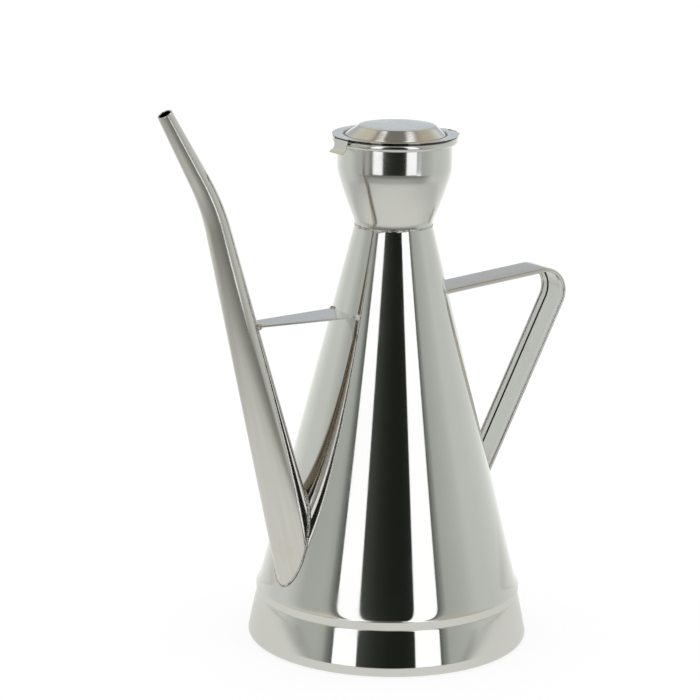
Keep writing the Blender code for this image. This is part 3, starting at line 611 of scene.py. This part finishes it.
# Spout weld. A thin bead round the spout's foot, melted onto the cone: narrow down both sides and the
# heel, and wider and lumpier in the crotch on top, where the torch could hardly reach.
foot_turns = full_turn(12)
foot_sections = []
for index, angle in enumerate(full_turn(400)):
    touch = meets_cone(lambda s: spout_surface(s, angle), DEEPEST_TOUCH, bend_start)
    corner = spout_surface(touch, angle)
    spoke = Vector((corner.x, corner.y, 0)).normalized()
    wall_normal = spoke * math.cos(cone_tilt) + Vector((0, 0, math.sin(cone_tilt)))
    away = corner - spout_centre(touch)
    tube_normal = away.normalized()
    along_wall = (away - wall_normal * away.dot(wall_normal)).normalized()
    crotch = max(0.0, -math.cos(angle)) ** 1.5
    stray = lumpiness(corner, 420, 2) * 0.6 + lumpiness(corner, 1100, 7) * 0.4
    leg = (0.00044 + 0.00052 * crotch) * (1 + (0.16 + 0.3 * crotch) * stray)
    ripple = (0.20 + 0.3 * crotch) * stray + 0.06 * math.cos(index * 0.9)
    proud = (0.00030 + 0.00062 * crotch) * (1 + ripple)
    toe = (along_wall + tube_normal * 0.2) * leg
    crown = (wall_normal + tube_normal * 0.6) * proud
    foot_sections.append([corner + toe * math.cos(turn) + crown * math.sin(turn) for turn in foot_turns])
# Each point's nearness to a toe, where the weld finish paints a dark reflection.
foot_toe_shade = [abs(math.cos(turn)) ** 3 for turn in foot_turns]
piece("spout_weld_bead", weld_ring(foot_sections, foot_toe_shade), weld_finish, "spout_weld",
      sharp_deg=75)


# Bridge plate. A flat tie cut from sheet, hollowed at both ends to lie against the cone and the spout,
# with its edges dressed, and tinted by the heat of the weld at the spout.
BRIDGE_SHEET = 0.0008
BRIDGE_HEIGHT = NECK_HEIGHT - 0.0325
BRIDGE_CONE_WIDTH = 0.0170
BRIDGE_SPOUT_WIDTH = 0.0085
BRIDGE_EMBED = 0.00015
bridge_distance = (BRIDGE_HEIGHT - spout_foot.z) / low_run.z
bridge_axis = spout_centre(bridge_distance).x
bridge_tube = spout_radius(bridge_distance)
cone_end = -cone_radius(BRIDGE_HEIGHT)
spout_end = bridge_axis + bridge_tube


def strip_brush(name, heat_low=None, heat_high=None):
    """Bright rolled strip, lightly brushed; straw-coloured where a weld has heated it, and painted shade
    along a marked hem step.
    """
    material, shader, place = bare_steel(name)
    streaks = place.squeezed(0.25, 1, 0.25).noise(1500, 3, 0.6)
    stain = place.noise(210, 3).between(0.50, 0.78)
    (0.10 + streaks * 0.06 + stain * 0.08).feed(shader, "Roughness")
    tone = stain.blend((0.752, 0.754, 0.742, 1), (0.715, 0.708, 0.688, 1))
    if heat_low is not None:
        heat = place.axis("X").between(heat_high, heat_low) * place.noise(420, 2).between(0.20, 0.5)
        tone = (heat * 0.85).blend(tone, (0.800, 0.730, 0.570, 1))
    # Painted shade: points marked in the toe attribute, the handle's hem steps, are coloured near black.
    hem_step_shade = place.attribute("toe")
    hem_step_shade.between(0.2, 0.8).blend(tone, (0.085, 0.080, 0.070, 1)).feed(shader, "Base Color")
    emboss(streaks * 0.6 + place.noise(160, 1), shader, 0.00002)
    return material


plate_shape = bmesh.new()
plate_rows = []
for row in range(21):
    levels = []
    for level in (BRIDGE_HEIGHT - BRIDGE_SHEET / 2, BRIDGE_HEIGHT + BRIDGE_SHEET / 2):
        distance = (level - spout_foot.z) / low_run.z
        tube_wall = spout_radius(distance) - BRIDGE_EMBED
        line = []
        for column in range(29):
            side = column / 14 - 1
            cone_side = side * BRIDGE_CONE_WIDTH / 2
            spout_side = side * BRIDGE_SPOUT_WIDTH / 2
            cone_x = -math.sqrt((cone_radius(level) - BRIDGE_EMBED) ** 2 - cone_side ** 2)
            tube_x = math.sqrt(tube_wall ** 2 - spout_side ** 2) / math.cos(low_lean)
            start = Vector((cone_x, cone_side, level))
            end = Vector((spout_centre(distance).x + tube_x, spout_side, level))
            line.append(plate_shape.verts.new(start.lerp(end, row / 20)))
        levels.append(line)
    plate_rows.append(levels)
for (bottom, top), (next_bottom, next_top) in zip(plate_rows, plate_rows[1:]):
    skin(plate_shape, bottom + top[::-1], next_bottom + next_top[::-1])
for bottom, top in (plate_rows[0], plate_rows[-1]):
    skin(plate_shape, bottom, top, closed=False)
plate_finish = strip_brush("plate_heat_tint", spout_end + 0.0005, spout_end + 0.0070)
plate_piece = piece("spout_bridge_plate", plate_shape, plate_finish, "spout_bridge")
dressed_edges = plate_piece.modifiers.new("dressed_edges", "BEVEL")
dressed_edges.width = 0.00014
dressed_edges.segments = 3
dressed_edges.limit_method = "ANGLE"
dressed_edges.angle_limit = math.radians(50)
dressed_edges.harden_normals = True


# Bridge tacks. A drop of weld in each corner between the plate's edges and the two round walls, melted
# flat onto them; the two on the near side stand proudest.
TACK_SIZE = Vector((0.00110, 0.00105, 0.00100))
TACK_CLEARANCE = 0.0005
for wall, centre_x, radius, facing in (
    ("cone", 0, cone_radius(BRIDGE_HEIGHT, TACK_CLEARANCE), -1),
    ("spout", bridge_axis, bridge_tube + TACK_CLEARANCE, 1),
):
    tack_x = centre_x + facing * radius
    for _ in range(6):
        share = (cone_end - tack_x) / (cone_end - spout_end)
        across = (BRIDGE_CONE_WIDTH + (BRIDGE_SPOUT_WIDTH - BRIDGE_CONE_WIDTH) * share) / 2 + FIT_GAP
        tack_x = centre_x + facing * math.sqrt(radius ** 2 - across ** 2)
    for side, sign, bulk in (("near", -1, 1.15), ("far", 1, 0.95)):
        seed = len(wall) + sign * 2
        centre = Vector((tack_x, sign * across, BRIDGE_HEIGHT))
        tack_shape = bmesh.new()
        bmesh.ops.create_icosphere(tack_shape, subdivisions=4, radius=1)
        for vertex in tack_shape.verts:
            swell = 1 + 0.16 * lumpiness(vertex.co, 1.5, seed) + 0.06 * lumpiness(vertex.co, 4, seed + 3)
            vertex.co = centre + vertex.co * TACK_SIZE * bulk * swell
        piece(f"{wall}_tack_{side}", tack_shape, weld_finish, f"bridge_tack_{wall}_{side}",
              sharp_deg=75)


# Handle. One strip of thin sheet, its long edges folded back and pressed down on the inner face, bent to
# a rounded corner; each end is cut between the hems and turned down into a flap welded to the cone.
STRIP_SHEET = 0.00045
HANDLE_WIDTH = 0.0155
HANDLE_TOP_HEIGHT = NECK_HEIGHT - 0.0268
HANDLE_RISE_DEG = 4.6
HANDLE_FOOT_HEIGHT = 0.0578
HANDLE_LEAN_DEG = 27.3
HANDLE_BEND_RADIUS = 0.0100
HEM_LENGTH = 0.0036
FOLD_RADIUS = 0.00075
CROWN = 0.00010
FLAP_WIDTH = 0.0120
FLAP_LENGTH = 0.0055
FLAP_BEND_REACH = 0.0009
FLAP_BEND_DROP = 0.0012
CORNER_STEPS = 28
CORNER_FLATTENING = 0.00018
HANDLE_EMBED = 0.0001
edge = HANDLE_WIDTH / 2
hem_edge = edge - HEM_LENGTH
fold = arc((edge - FOLD_RADIUS, -CROWN - FOLD_RADIUS), FOLD_RADIUS, 84, -168, 30)
half = [(edge * share, -CROWN * share ** 2, 0) for share in (0.15, 0.3, 0.45, 0.6, 0.75, 0.85)]
half += [(across, depth, 0) for across, depth in fold]
half += [(edge - HEM_LENGTH * share, -2 * STRIP_SHEET, 0) for share in (0.55, 0.93)]
# Painted shade: the third number of each point marks the step where the hem's cut edge lies on the inner
# face, and the finish colours it dark for the shade in that step.
half += [(hem_edge, -1.85 * STRIP_SHEET, 0.6), (hem_edge + 0.00002, -1.5 * STRIP_SHEET, 1),
         (hem_edge + 0.00002, -STRIP_SHEET, 1), (hem_edge - 0.0002, -STRIP_SHEET, 0)]
half += [(hem_edge * share, -STRIP_SHEET, 0) for share in (0.75, 0.5, 0.25)]
mirrored = [(-across, depth, step_shade) for across, depth, step_shade in half[::-1]]
profile = [(0, 0, 0)] + half + [(0, -STRIP_SHEET, 0)] + mirrored
rise = math.radians(HANDLE_RISE_DEG)
lean = math.radians(HANDLE_LEAN_DEG)
handle_out = Vector((math.cos(rise), 0, math.sin(rise)))
handle_top = Vector((cone_radius(HANDLE_TOP_HEIGHT), 0, HANDLE_TOP_HEIGHT))
handle_span = Vector((cone_radius(HANDLE_FOOT_HEIGHT), 0, HANDLE_FOOT_HEIGHT)) - handle_top
to_corner = (handle_span.x * math.cos(lean) - handle_span.z * math.sin(lean)) / math.cos(rise + lean)
bend_angle = math.pi / 2 + lean + rise
to_bend = to_corner - HANDLE_BEND_RADIUS * math.tan(bend_angle / 2)
corner_centre = handle_top + handle_out * to_bend
corner_centre += Vector((handle_out.z, 0, -handle_out.x)) * HANDLE_BEND_RADIUS


def run_to_cone(section, away, longest):
    """A section carried back along the strip until every point meets the cone."""
    ends = []
    for point in section:
        travel = meets_cone(lambda s: point + away * (s - longest), 0.0, longest, -HANDLE_EMBED)
        ends.append(point + away * (travel - longest))
    return ends


corner_sections = []
for step in range(CORNER_STEPS + 1):
    share = step / CORNER_STEPS
    angle = math.pi / 2 + rise - bend_angle * share
    outward = Vector((math.cos(angle), 0, math.sin(angle)))
    middle = corner_centre + outward * (HANDLE_BEND_RADIUS - CORNER_FLATTENING * math.sin(math.pi * share))
    corner_sections.append([middle + outward * depth + Vector((0, across, 0))
                            for across, depth, _ in profile])
first_section, last_section = corner_sections[0], corner_sections[-1]
upper_end = run_to_cone(first_section, handle_out, 0.060)
lower_end = run_to_cone(last_section, leaning(-lean), 0.120)
handle_sections = [[a.lerp(b, step / 20) for a, b in zip(upper_end, first_section)] for step in range(20)]
handle_sections += corner_sections
handle_sections += [[a.lerp(b, step / 44) for a, b in zip(last_section, lower_end)]
                    for step in range(1, 45)]
handle_shape = weld_ring(handle_sections, [step_shade for _, _, step_shade in profile], closed=False)
for strip_height in (HANDLE_TOP_HEIGHT, HANDLE_FOOT_HEIGHT + STRIP_SHEET):
    flap_sections = []
    for column in range(17):
        side = column / 8 - 1
        outer, inner = [], []
        for step in range(15):
            share = step / 14
            height = strip_height - STRIP_SHEET * 0.5 - FLAP_LENGTH * share
            round_off = FLAP_BEND_REACH * max(0.0, 1 - share * FLAP_LENGTH / FLAP_BEND_DROP) ** 2
            y = side * FLAP_WIDTH / 2 * (1 - 0.10 * max(0.0, share - 0.8) / 0.2 * side * side)
            for line, clearance in ((outer, STRIP_SHEET), (inner, -HANDLE_EMBED)):
                radius = cone_radius(height, clearance)
                line.append(Vector((math.sqrt(radius ** 2 - y ** 2) + round_off, y, height)))
        flap_sections.append(outer + inner[::-1])
    skinned(handle_shape, flap_sections, closed=False)
piece("handle_strip_hemmed", handle_shape, strip_brush("handle_rolled_strip"),
      "handle_strip", sharp_deg=40)


# Lid. Pressed from thinner sheet with a raised, flat-topped middle inside a fine groove, and brushed in
# rings on the lathe. The rim runs out into a finger tab at the front and a rolled ear at the back.
LID_SHEET = 0.0005
LID_TOP_HEIGHT = CURL_HEIGHT + CURL_RADIUS + FIT_GAP + LID_SHEET
LID_RADIUS = CURL_REACH + CURL_RADIUS + 0.0001
LID_FLANK_DEG = 40
LID_DOME_RISE = 0.0032
LID_DOME_OFFSET = 0.0009
LID_FLANGE_WIDTH = 0.0038
LID_GROOVE_DEPTH = 0.0006
LID_GROOVE_SLOPE = 0.00035
LID_GROOVE_WIDTH = 0.0005
LID_DOME_FLANK = 0.00415
TAB_WIDTH = 0.0083
TAB_BEND_RADIUS = 0.0006
HINGE_DROP = 0.0004
PIN_RADIUS = 0.0004
KNUCKLE_RADIUS = PIN_RADIUS + FIT_GAP + LID_SHEET
EAR_WIDTH = 0.0026
LID_SEGMENTS = 180
hinge_height = LID_TOP_HEIGHT - HINGE_DROP - KNUCKLE_RADIUS
hinge_spacing = CURL_RADIUS + KNUCKLE_RADIUS + FIT_GAP
hinge_reach = CURL_REACH + math.sqrt(hinge_spacing ** 2 - (hinge_height - CURL_HEIGHT) ** 2)
flange_inside = LID_RADIUS - LID_FLANGE_WIDTH


def lathe_satin(name):
    """Bright satin from a lathe: fine rings round the middle, painted shade in the groove, and a painted
    shadow on the rim's edge for the gap under it.
    """
    material, shader, place = bare_steel(name)
    x, y, z = [place.axis(letter) for letter in "XYZ"]
    squared = x * x + y * y
    radius = squared.math("SQRT", squared)
    ringed = place.node("ShaderNodeCombineXYZ", {}, {"X": radius, "Y": y * 0.02})
    rings = ringed.noise(5200, 3, 0.65)
    bands = ringed.noise(700, 2)
    wiped = place.noise(75, 2).between(0.42, 0.70)
    (0.085 + rings * 0.05 + bands * 0.03 - wiped * 0.02).feed(shader, "Roughness")
    tone = bands.between(0.3, 0.7).blend((0.752, 0.747, 0.730, 1), (0.728, 0.720, 0.700, 1))
    # Painted shade: the groove's floor and walls are coloured dark.
    in_groove = z.between(LID_TOP_HEIGHT - 0.0001, LID_TOP_HEIGHT - 0.0004)
    groove = in_groove * radius.between(flange_inside + 0.0004, flange_inside)
    tone = groove.blend(tone, (0.150, 0.140, 0.125, 1))
    # Painted shadow: the rim's cut edge is coloured near black, standing in for the shadow of the gap
    # between the lid and the cup's bead.
    below_face = z.between(LID_TOP_HEIGHT - 0.00004, LID_TOP_HEIGHT - 0.00012)
    above_back = z.between(LID_TOP_HEIGHT - LID_SHEET + 0.00001, LID_TOP_HEIGHT - LID_SHEET + 0.00005)
    rim_gap_shadow = below_face * above_back * radius.between(LID_RADIUS - 0.0004, LID_RADIUS - 0.0002)
    rim_gap_shadow.blend(tone, (0.040, 0.037, 0.034, 1)).feed(shader, "Base Color")
    emboss(rings + bands * 0.6, shader, 0.00003)
    shader.inputs["Anisotropic"].default_value = 0.5
    shader.inputs["Anisotropic Rotation"].default_value = 0.25
    return material


def grow_strip(shape, face_row, back_row, rows):
    """Extend a row of paired vertices through rows of (face points, back points) and cap the end."""
    for face_points, back_points in rows:
        new_face = [shape.verts.new(point) for point in face_points]
        new_back = [shape.verts.new(point) for point in back_points]
        skin(shape, face_row + back_row[::-1], new_face + new_back[::-1])
        face_row, back_row = new_face, new_back
    skin(shape, face_row, back_row, closed=False)


def opened_rim(columns):
    """The rim's top and bottom rows along some columns, opened between for a strip to grow from."""
    top_row = [rim_top[column] for column in columns]
    bottom_row = [rim_bottom[column] for column in columns]
    for index in range(len(top_row) - 1):
        corners = {top_row[index], top_row[index + 1], bottom_row[index], bottom_row[index + 1]}
        for face in list(top_row[index].link_faces):
            if set(face.verts) == corners:
                lid_shape.faces.remove(face)
    return top_row, bottom_row


groove_outside = flange_inside - LID_GROOVE_SLOPE
groove_inside = groove_outside - LID_GROOVE_WIDTH
dome_foot = groove_inside - 0.0006
dome_top = dome_foot - LID_DOME_FLANK
dome_height = LID_TOP_HEIGHT + LID_DOME_RISE
lid_upper = [
    (0, dome_height + 0.0001),
    (dome_top * 0.75, dome_height + 0.00008),
    (dome_top, dome_height),
    (dome_foot, LID_TOP_HEIGHT),
    (groove_inside, LID_TOP_HEIGHT - LID_GROOVE_DEPTH),
    (groove_outside, LID_TOP_HEIGHT - LID_GROOVE_DEPTH),
    (flange_inside, LID_TOP_HEIGHT),
    (LID_RADIUS, LID_TOP_HEIGHT),
]
lid_bends = {1: 0.003, 2: 0.00035, **dict.fromkeys(range(3, 7), 0.0002)}
lid_upper = divided(eased(lid_upper, lid_bends), 0.0012)
lid_lower = offset_right(lid_upper, LID_SHEET)
lid_lower[0] = (0, lid_lower[0][1])
lid_shape, lid_rings = spun(lid_upper + lid_lower[::-1], LID_SEGMENTS)
rim_top, rim_bottom = lid_rings[len(lid_upper) - 1], lid_rings[len(lid_upper)]
back_edge = hinge_reach - KNUCKLE_RADIUS - 0.0015
flank_turn = math.radians(LID_FLANK_DEG)
for vertex in lid_shape.verts:
    radius = math.hypot(vertex.co.x, vertex.co.y)
    angle = abs(math.atan2(vertex.co.y, vertex.co.x))
    climbed = (vertex.co.z - LID_TOP_HEIGHT + LID_SHEET) / LID_DOME_RISE
    if radius > flange_inside + 0.0001 and angle < flank_turn:
        rim = min(LID_RADIUS / math.cos(flank_turn - angle), back_edge / math.cos(angle))
        share = (radius - flange_inside) / (LID_RADIUS - flange_inside)
        stretch = (flange_inside + (rim - flange_inside) * share) / radius
        vertex.co.x *= stretch
        vertex.co.y *= stretch
    elif radius < dome_foot + 0.0003 and climbed > 0:
        vertex.co.x += LID_DOME_OFFSET * min(climbed, 1)

tab_top, tab_bottom = opened_rim(range(LID_SEGMENTS // 2 - 5, LID_SEGMENTS // 2 + 6))
tab_reach = CURL_REACH + CURL_RADIUS + 0.0004 + LID_SHEET
tab_face = arc((tab_reach - TAB_BEND_RADIUS, LID_TOP_HEIGHT - TAB_BEND_RADIUS), TAB_BEND_RADIUS, 80, 0, 8)
tab_foot = Vector((tab_reach, LID_TOP_HEIGHT - 0.0030))
tab_face += curve(tab_foot, tab_foot - Vector((0, 0.00115)), tab_foot + Vector((0.0021, -0.0023)), 10)
tab_rows = []
for number, sheet_points in enumerate(zip(tab_face, offset_right(tab_face, LID_SHEET))):
    straightness = min(1.0, (number + 1) / 6)
    width = TAB_WIDTH + 0.0004 * max(0, number - 9) / 10
    rows = []
    for reach, height in sheet_points:
        row = []
        for column, vertex in enumerate(tab_top):
            across = width * (0.5 - column / (len(tab_top) - 1))
            sweep = (LID_RADIUS + vertex.co.x) * (1 - straightness)
            row.append((-reach + sweep, across * straightness + vertex.co.y * (1 - straightness), height))
        rows.append(row)
    tab_rows.append(rows)
grow_strip(lid_shape, tab_top, tab_bottom, tab_rows)

ear_top, ear_bottom = opened_rim(range(-3, 4))
ear_near = hinge_reach - KNUCKLE_RADIUS - FIT_GAP
ear_bore = KNUCKLE_RADIUS - LID_SHEET
ear_run, ear_fall = hinge_reach - ear_near, LID_TOP_HEIGHT - hinge_height
ear_slant = math.atan2(ear_fall, ear_run) + math.acos(KNUCKLE_RADIUS / math.hypot(ear_run, ear_fall))
touch_deg = 180 - math.degrees(ear_slant)
ear_faces = []
for height, radius in ((LID_TOP_HEIGHT, KNUCKLE_RADIUS), (LID_TOP_HEIGHT - LID_SHEET, ear_bore)):
    ear_faces.append([(ear_near, height), *arc((hinge_reach, hinge_height), radius, touch_deg, -150, 24)])
ear_rows = [[[(x, EAR_WIDTH * (column / 6 - 0.5), z) for column in range(7)] for x, z in sheet_points]
            for sheet_points in zip(*ear_faces)]
grow_strip(lid_shape, ear_top, ear_bottom, ear_rows)
piece("lid_pressed", lid_shape, lathe_satin("lid_satin"), "lid", "lid_body")


# Hinge bracket. A strip of bright steel spot-welded to the cup's wall under the rolled rim. It passes
# below the bead and rolls up round the pin in two knuckles, with a notch between them for the ear.
HINGE_WIDTH = 0.0070
BRACKET_LEG = 0.0076
shelf = CURL_HEIGHT - CURL_RADIUS - 0.0004
bracket_wall = CUP_WALL_RADIUS + 0.00005
upright = hinge_reach + ear_bore
bracket_face = eased([
    (bracket_wall, shelf - BRACKET_LEG),
    (bracket_wall, shelf - 0.0004),
    (bracket_wall + 0.0004, shelf),
    (upright - 0.0004, shelf),
    (upright, shelf + 0.0004),
], dict.fromkeys((1, 2, 3), 0.0003))
notch_start = len(bracket_face)
bracket_face += arc((hinge_reach, hinge_height), ear_bore, 0, 210, 22)
bracket_back = offset_right(bracket_face, LID_SHEET)
notch_half = EAR_WIDTH / 2 + FIT_GAP
near_rows = [-HINGE_WIDTH / 2 + (HINGE_WIDTH / 2 - notch_half) * step / 4 for step in range(5)]
far_rows = [-y for y in near_rows[::-1]]
middle_rows = [notch_half * (step / 2 - 1) for step in range(1, 4)]
sheet_points = list(zip(bracket_face, bracket_back))
bracket_shape = bmesh.new()
for band, rows in (
    (sheet_points[:notch_start], near_rows + middle_rows + far_rows),
    (sheet_points[notch_start - 1:], near_rows),
    (sheet_points[notch_start - 1:], far_rows),
):
    band_sections = [[(face_x, y, face_z) for y in rows] + [(back_x, y, back_z) for y in reversed(rows)]
                     for (face_x, face_z), (back_x, back_z) in band]
    skinned(bracket_shape, band_sections, closed=False)
hinge_finish = strip_brush("hinge_bright_strip")
piece("hinge_bracket_rolled", bracket_shape, hinge_finish, "lid_hinge_bracket", sharp_deg=40)


# Hinge pin. A short steel wire through the knuckles and the ear, peened at both ends so that it stays.
# Its ends are chamfered and flush with the sides of the bracket.
PEENED_SHARE = 0.75
PIN_CHAMFER = 0.0001
pin_end = HINGE_WIDTH / 2
pin_half = [(0, -pin_end), (PIN_RADIUS * PEENED_SHARE, -pin_end), (PIN_RADIUS, -pin_end + PIN_CHAMFER)]
pin_outline = pin_half + [(radius, -height) for radius, height in pin_half[::-1]]
pin_shape, _ = spun(divided(pin_outline, 0.0012), 32)
pin_place = Matrix.Translation((hinge_reach, 0, hinge_height))
pin_shape.transform(pin_place @ Matrix.Rotation(math.pi / 2, 4, "X"))
piece("hinge_pin_wire", pin_shape, hinge_finish, "lid_hinge_pin")


# Studio. White paper under and behind the cruet, which the camera sees as white. In the mirror of the
# steel the paper is warm, the room behind the camera is dark with two tall soft boxes in it, and the
# ceiling is brown. The steel sees the floor only near the cruet and on the camera's side.
FLOOR_REACH = 3.0
RAMP_GAIN = 1.3
WHITE = (1, 1, 1, 1)
BLACK = (0, 0, 0, 1)


def grey(level):
    """The light that a steel of reflectance 0.78 turns into this brightness of the picture."""
    encoded = level / 255
    linear = encoded / 12.92 if encoded <= 0.04045 else ((encoded + 0.055) / 1.055) ** 2.4
    return min(linear / 0.78, 1.28)


def component(place, direction):
    """How far a place or a direction reaches along another direction."""
    inputs = {0: place, 1: tuple(direction)}
    return place.node("ShaderNodeVectorMath", {"operation": "DOT_PRODUCT"}, inputs, "Value")


floor_mesh = bpy.data.meshes.new("paper_floor")
floor_corners = [(x * FLOOR_REACH, y * FLOOR_REACH, 0) for x, y in ((-1, -1), (1, -1), (1, 1), (-1, 1))]
floor_mesh.from_pydata(floor_corners, [], [(0, 1, 2, 3)])
paper = bpy.data.materials.new("white_paper")
paper.use_nodes = True
paper_shader = paper.node_tree.nodes["Principled BSDF"]
for name, value in (("Roughness", 0.9), ("Specular IOR Level", 0.0), ("Emission Strength", 1.0)):
    paper_shader.inputs[name].default_value = value
camera_side = Vector((CAMERA_PLACE.x, CAMERA_PLACE.y, 0)).normalized()
right_side = Vector((-camera_side.y, camera_side.x, 0))
spot = Signal(paper.node_tree).node("ShaderNodeNewGeometry", {}, {}, "Position")
to_camera = spot.ray("Camera")
to_camera.blend((0.55, 0.53, 0.50, 1), (0.22, 0.22, 0.22, 1)).feed(paper_shader, "Base Color")
to_camera.blend(BLACK, (0.80, 0.80, 0.80, 1)).feed(paper_shader, "Emission Color")
distance = spot.node("ShaderNodeVectorMath", {"operation": "LENGTH"}, {0: spot}, "Value")
floor_levels = [(0.15, 200), (0.20, 196), (0.26, 178), (0.31, 151), (0.37, 134), (0.45, 120), (0.60, 107),
                (1.00, 105)]
lit_paper = distance.ramp([
    (metres, (grey(level), grey(level), grey(level - 5))) for metres, level in floor_levels
])
shown_light = spot.node("ShaderNodeBsdfPrincipled", {}, {
    "Base Color": BLACK, "Specular IOR Level": 0.0, "Emission Color": lit_paper, "Emission Strength": 1.0,
})
unseen = spot.node("ShaderNodeBsdfTransparent", {}, {})
ahead = component(spot, camera_side) / distance
close_by = distance.between(0.40, 0.18) * ahead.between(-0.95, -0.4)
near_front = spot.math("MAXIMUM", ahead.between(0.10, 0.60), close_by) * distance.between(0.66, 0.56)
for_steel = spot.node("ShaderNodeMixShader", {}, {0: near_front, 1: unseen, 2: shown_light})
for_the_rest = Signal(paper.node_tree, paper_shader.outputs["BSDF"])
paper_surface = spot.node("ShaderNodeMixShader", {}, {0: spot.ray("Glossy"), 1: for_the_rest, 2: for_steel})
paper_surface.feed(paper.node_tree.nodes["Material Output"], "Surface")
floor_mesh.materials.append(paper)
paper_floor = placed("paper_floor", floor_mesh)

room = bpy.data.worlds.new("studio_room")
room.use_nodes = True
bpy.context.scene.world = room
background = room.node_tree.nodes["Background"]
toward = Signal(room.node_tree).node("ShaderNodeTexCoord", {}, {}, "Generated")
rightward = component(toward, right_side)
forward = component(toward, camera_side)
upward = component(toward, (0, 0, 1))
bearing = rightward.math("ARCTAN2", rightward, forward) * (180 / math.pi)
off_axis = abs(bearing)
lift = upward.math("ARCSINE", upward) * (180 / math.pi)
on_right = bearing.math("GREATER_THAN", bearing, 0.0)


def room_side(levels, tint):
    """One half of the room by degrees from the camera's side, scaled to fit a ramp."""
    stops = []
    for angle, level in levels:
        stops.append((angle / 180, tuple(grey(level + extra) / RAMP_GAIN for extra in tint)))
    return (off_axis / 180).ramp(stops)


wall_tint = (-1, 1, -4)
right_walls = room_side([
    (0, 30), (4, 27), (15, 27), (23, 34), (28, 50), (46, 75), (48, 108), (51, 130), (54, 157), (66, 165),
    (76, 172), (87, 184), (107, 186), (127, 193), (138, 200), (148, 210), (160, 222), (175, 228),
], wall_tint)
left_walls = room_side([
    (0, 30), (4, 34), (9, 38), (14, 47), (20, 58), (25, 64), (44, 70), (46, 88), (50, 118), (54, 155),
    (60, 163), (80, 161), (100, 189), (120, 190), (141, 206), (150, 211), (160, 220), (175, 228),
], wall_tint)
walls = on_right.blend(left_walls, right_walls)
beside_boxes = lift.between(-11, -14) * off_axis.between(43, 45) * off_axis.between(54, 51)
walls = (beside_boxes * 0.5).blend(walls, (0.045, 0.052, 0.065, 1))
soft_boxes = off_axis.between(23.9, 24.3) * (off_axis - on_right).between(44.6, 44.2)
walls = soft_boxes.blend(walls, WHITE)
box_feet = lift.between(-12.4, -12.8) * off_axis.between(23, 25) * off_axis.between(46, 44)
walls = box_feet.blend(walls, (0.07, 0.07, 0.066, 1))
right_paper = room_side([(0, 194), (20, 196), (45, 197), (70, 195), (110, 200), (150, 214), (180, 226)],
                        (0, 1, -4))
left_paper = room_side([(0, 194), (18, 188), (45, 171), (70, 168), (110, 178), (150, 204), (180, 226)],
                       (0, 0, -5))
paper_seen = on_right.blend(left_paper, right_paper)
central = off_axis.between(64, 45)
paper_shade = 1 - (lift.between(-34, -11) * 0.73) * central
paper_seen = paper_seen.scaled(paper_shade)
to_paper = central * lift.between(-12.6, -15.4) + (1 - central) * lift.between(-14, -50)
room_seen = to_paper.blend(walls, paper_seen)
spill = bearing.between(45.5, 47.0) * bearing.between(55.5, 54.0) * lift.between(-10.1, -10.9)
room_seen = (spill * lift.between(-16.5, -14.5)).blend(room_seen, WHITE)
upper_sides = on_right.blend((0.505, 0.469, 0.381, 1), (0.413, 0.371, 0.298, 1))
room_seen = (lift.between(22, 46) * off_axis.between(50, 64)).blend(room_seen, upper_sides)
sideways = abs(rightward) / upward
frontward = forward / upward
under_boxes = sideways.between(0.19, 0.22) * (sideways - frontward * 0.35).between(0.50, 0.40)
ceiling = (frontward.between(-0.30, -0.75) + sideways.between(0.30, 0.55) * 0.8).blend(
    (0.160, 0.150, 0.130, 1), upper_sides)
ceiling = (under_boxes * frontward.between(-0.40, -0.26)).blend(ceiling, (0.98, 0.97, 0.94, 1))
back_tones = ((lift - 3) / 37).ramp([
    (0.0, (0.77, 0.77, 0.77)), (0.10, (0.50, 0.535, 0.57)), (0.20, (0.43, 0.47, 0.505)),
    (0.30, (0.390, 0.400, 0.415)), (0.42, (0.375, 0.38, 0.385)), (0.60, (0.41, 0.39, 0.35)),
    (1.0, (0.46, 0.425, 0.345)),
])
room_seen = (lift.between(3, 5) * off_axis.between(145, 160)).blend(room_seen, back_tones)
behind = lift.between(22, 30) * off_axis.between(168, 174)
room_seen = behind.blend(room_seen, (0.05, 0.047, 0.042, 1))
room_seen = lift.between(52, 60).blend(room_seen, ceiling)
seen_in_steel = lift.math("MAXIMUM", lift.ray("Glossy"), lift.ray("Transmission"))
indirect = seen_in_steel.blend(WHITE, room_seen.scaled(RAMP_GAIN))
lift.ray("Camera").blend(indirect, WHITE).feed(background, "Color")
bpy.context.scene.view_settings.view_transform = "Standard"
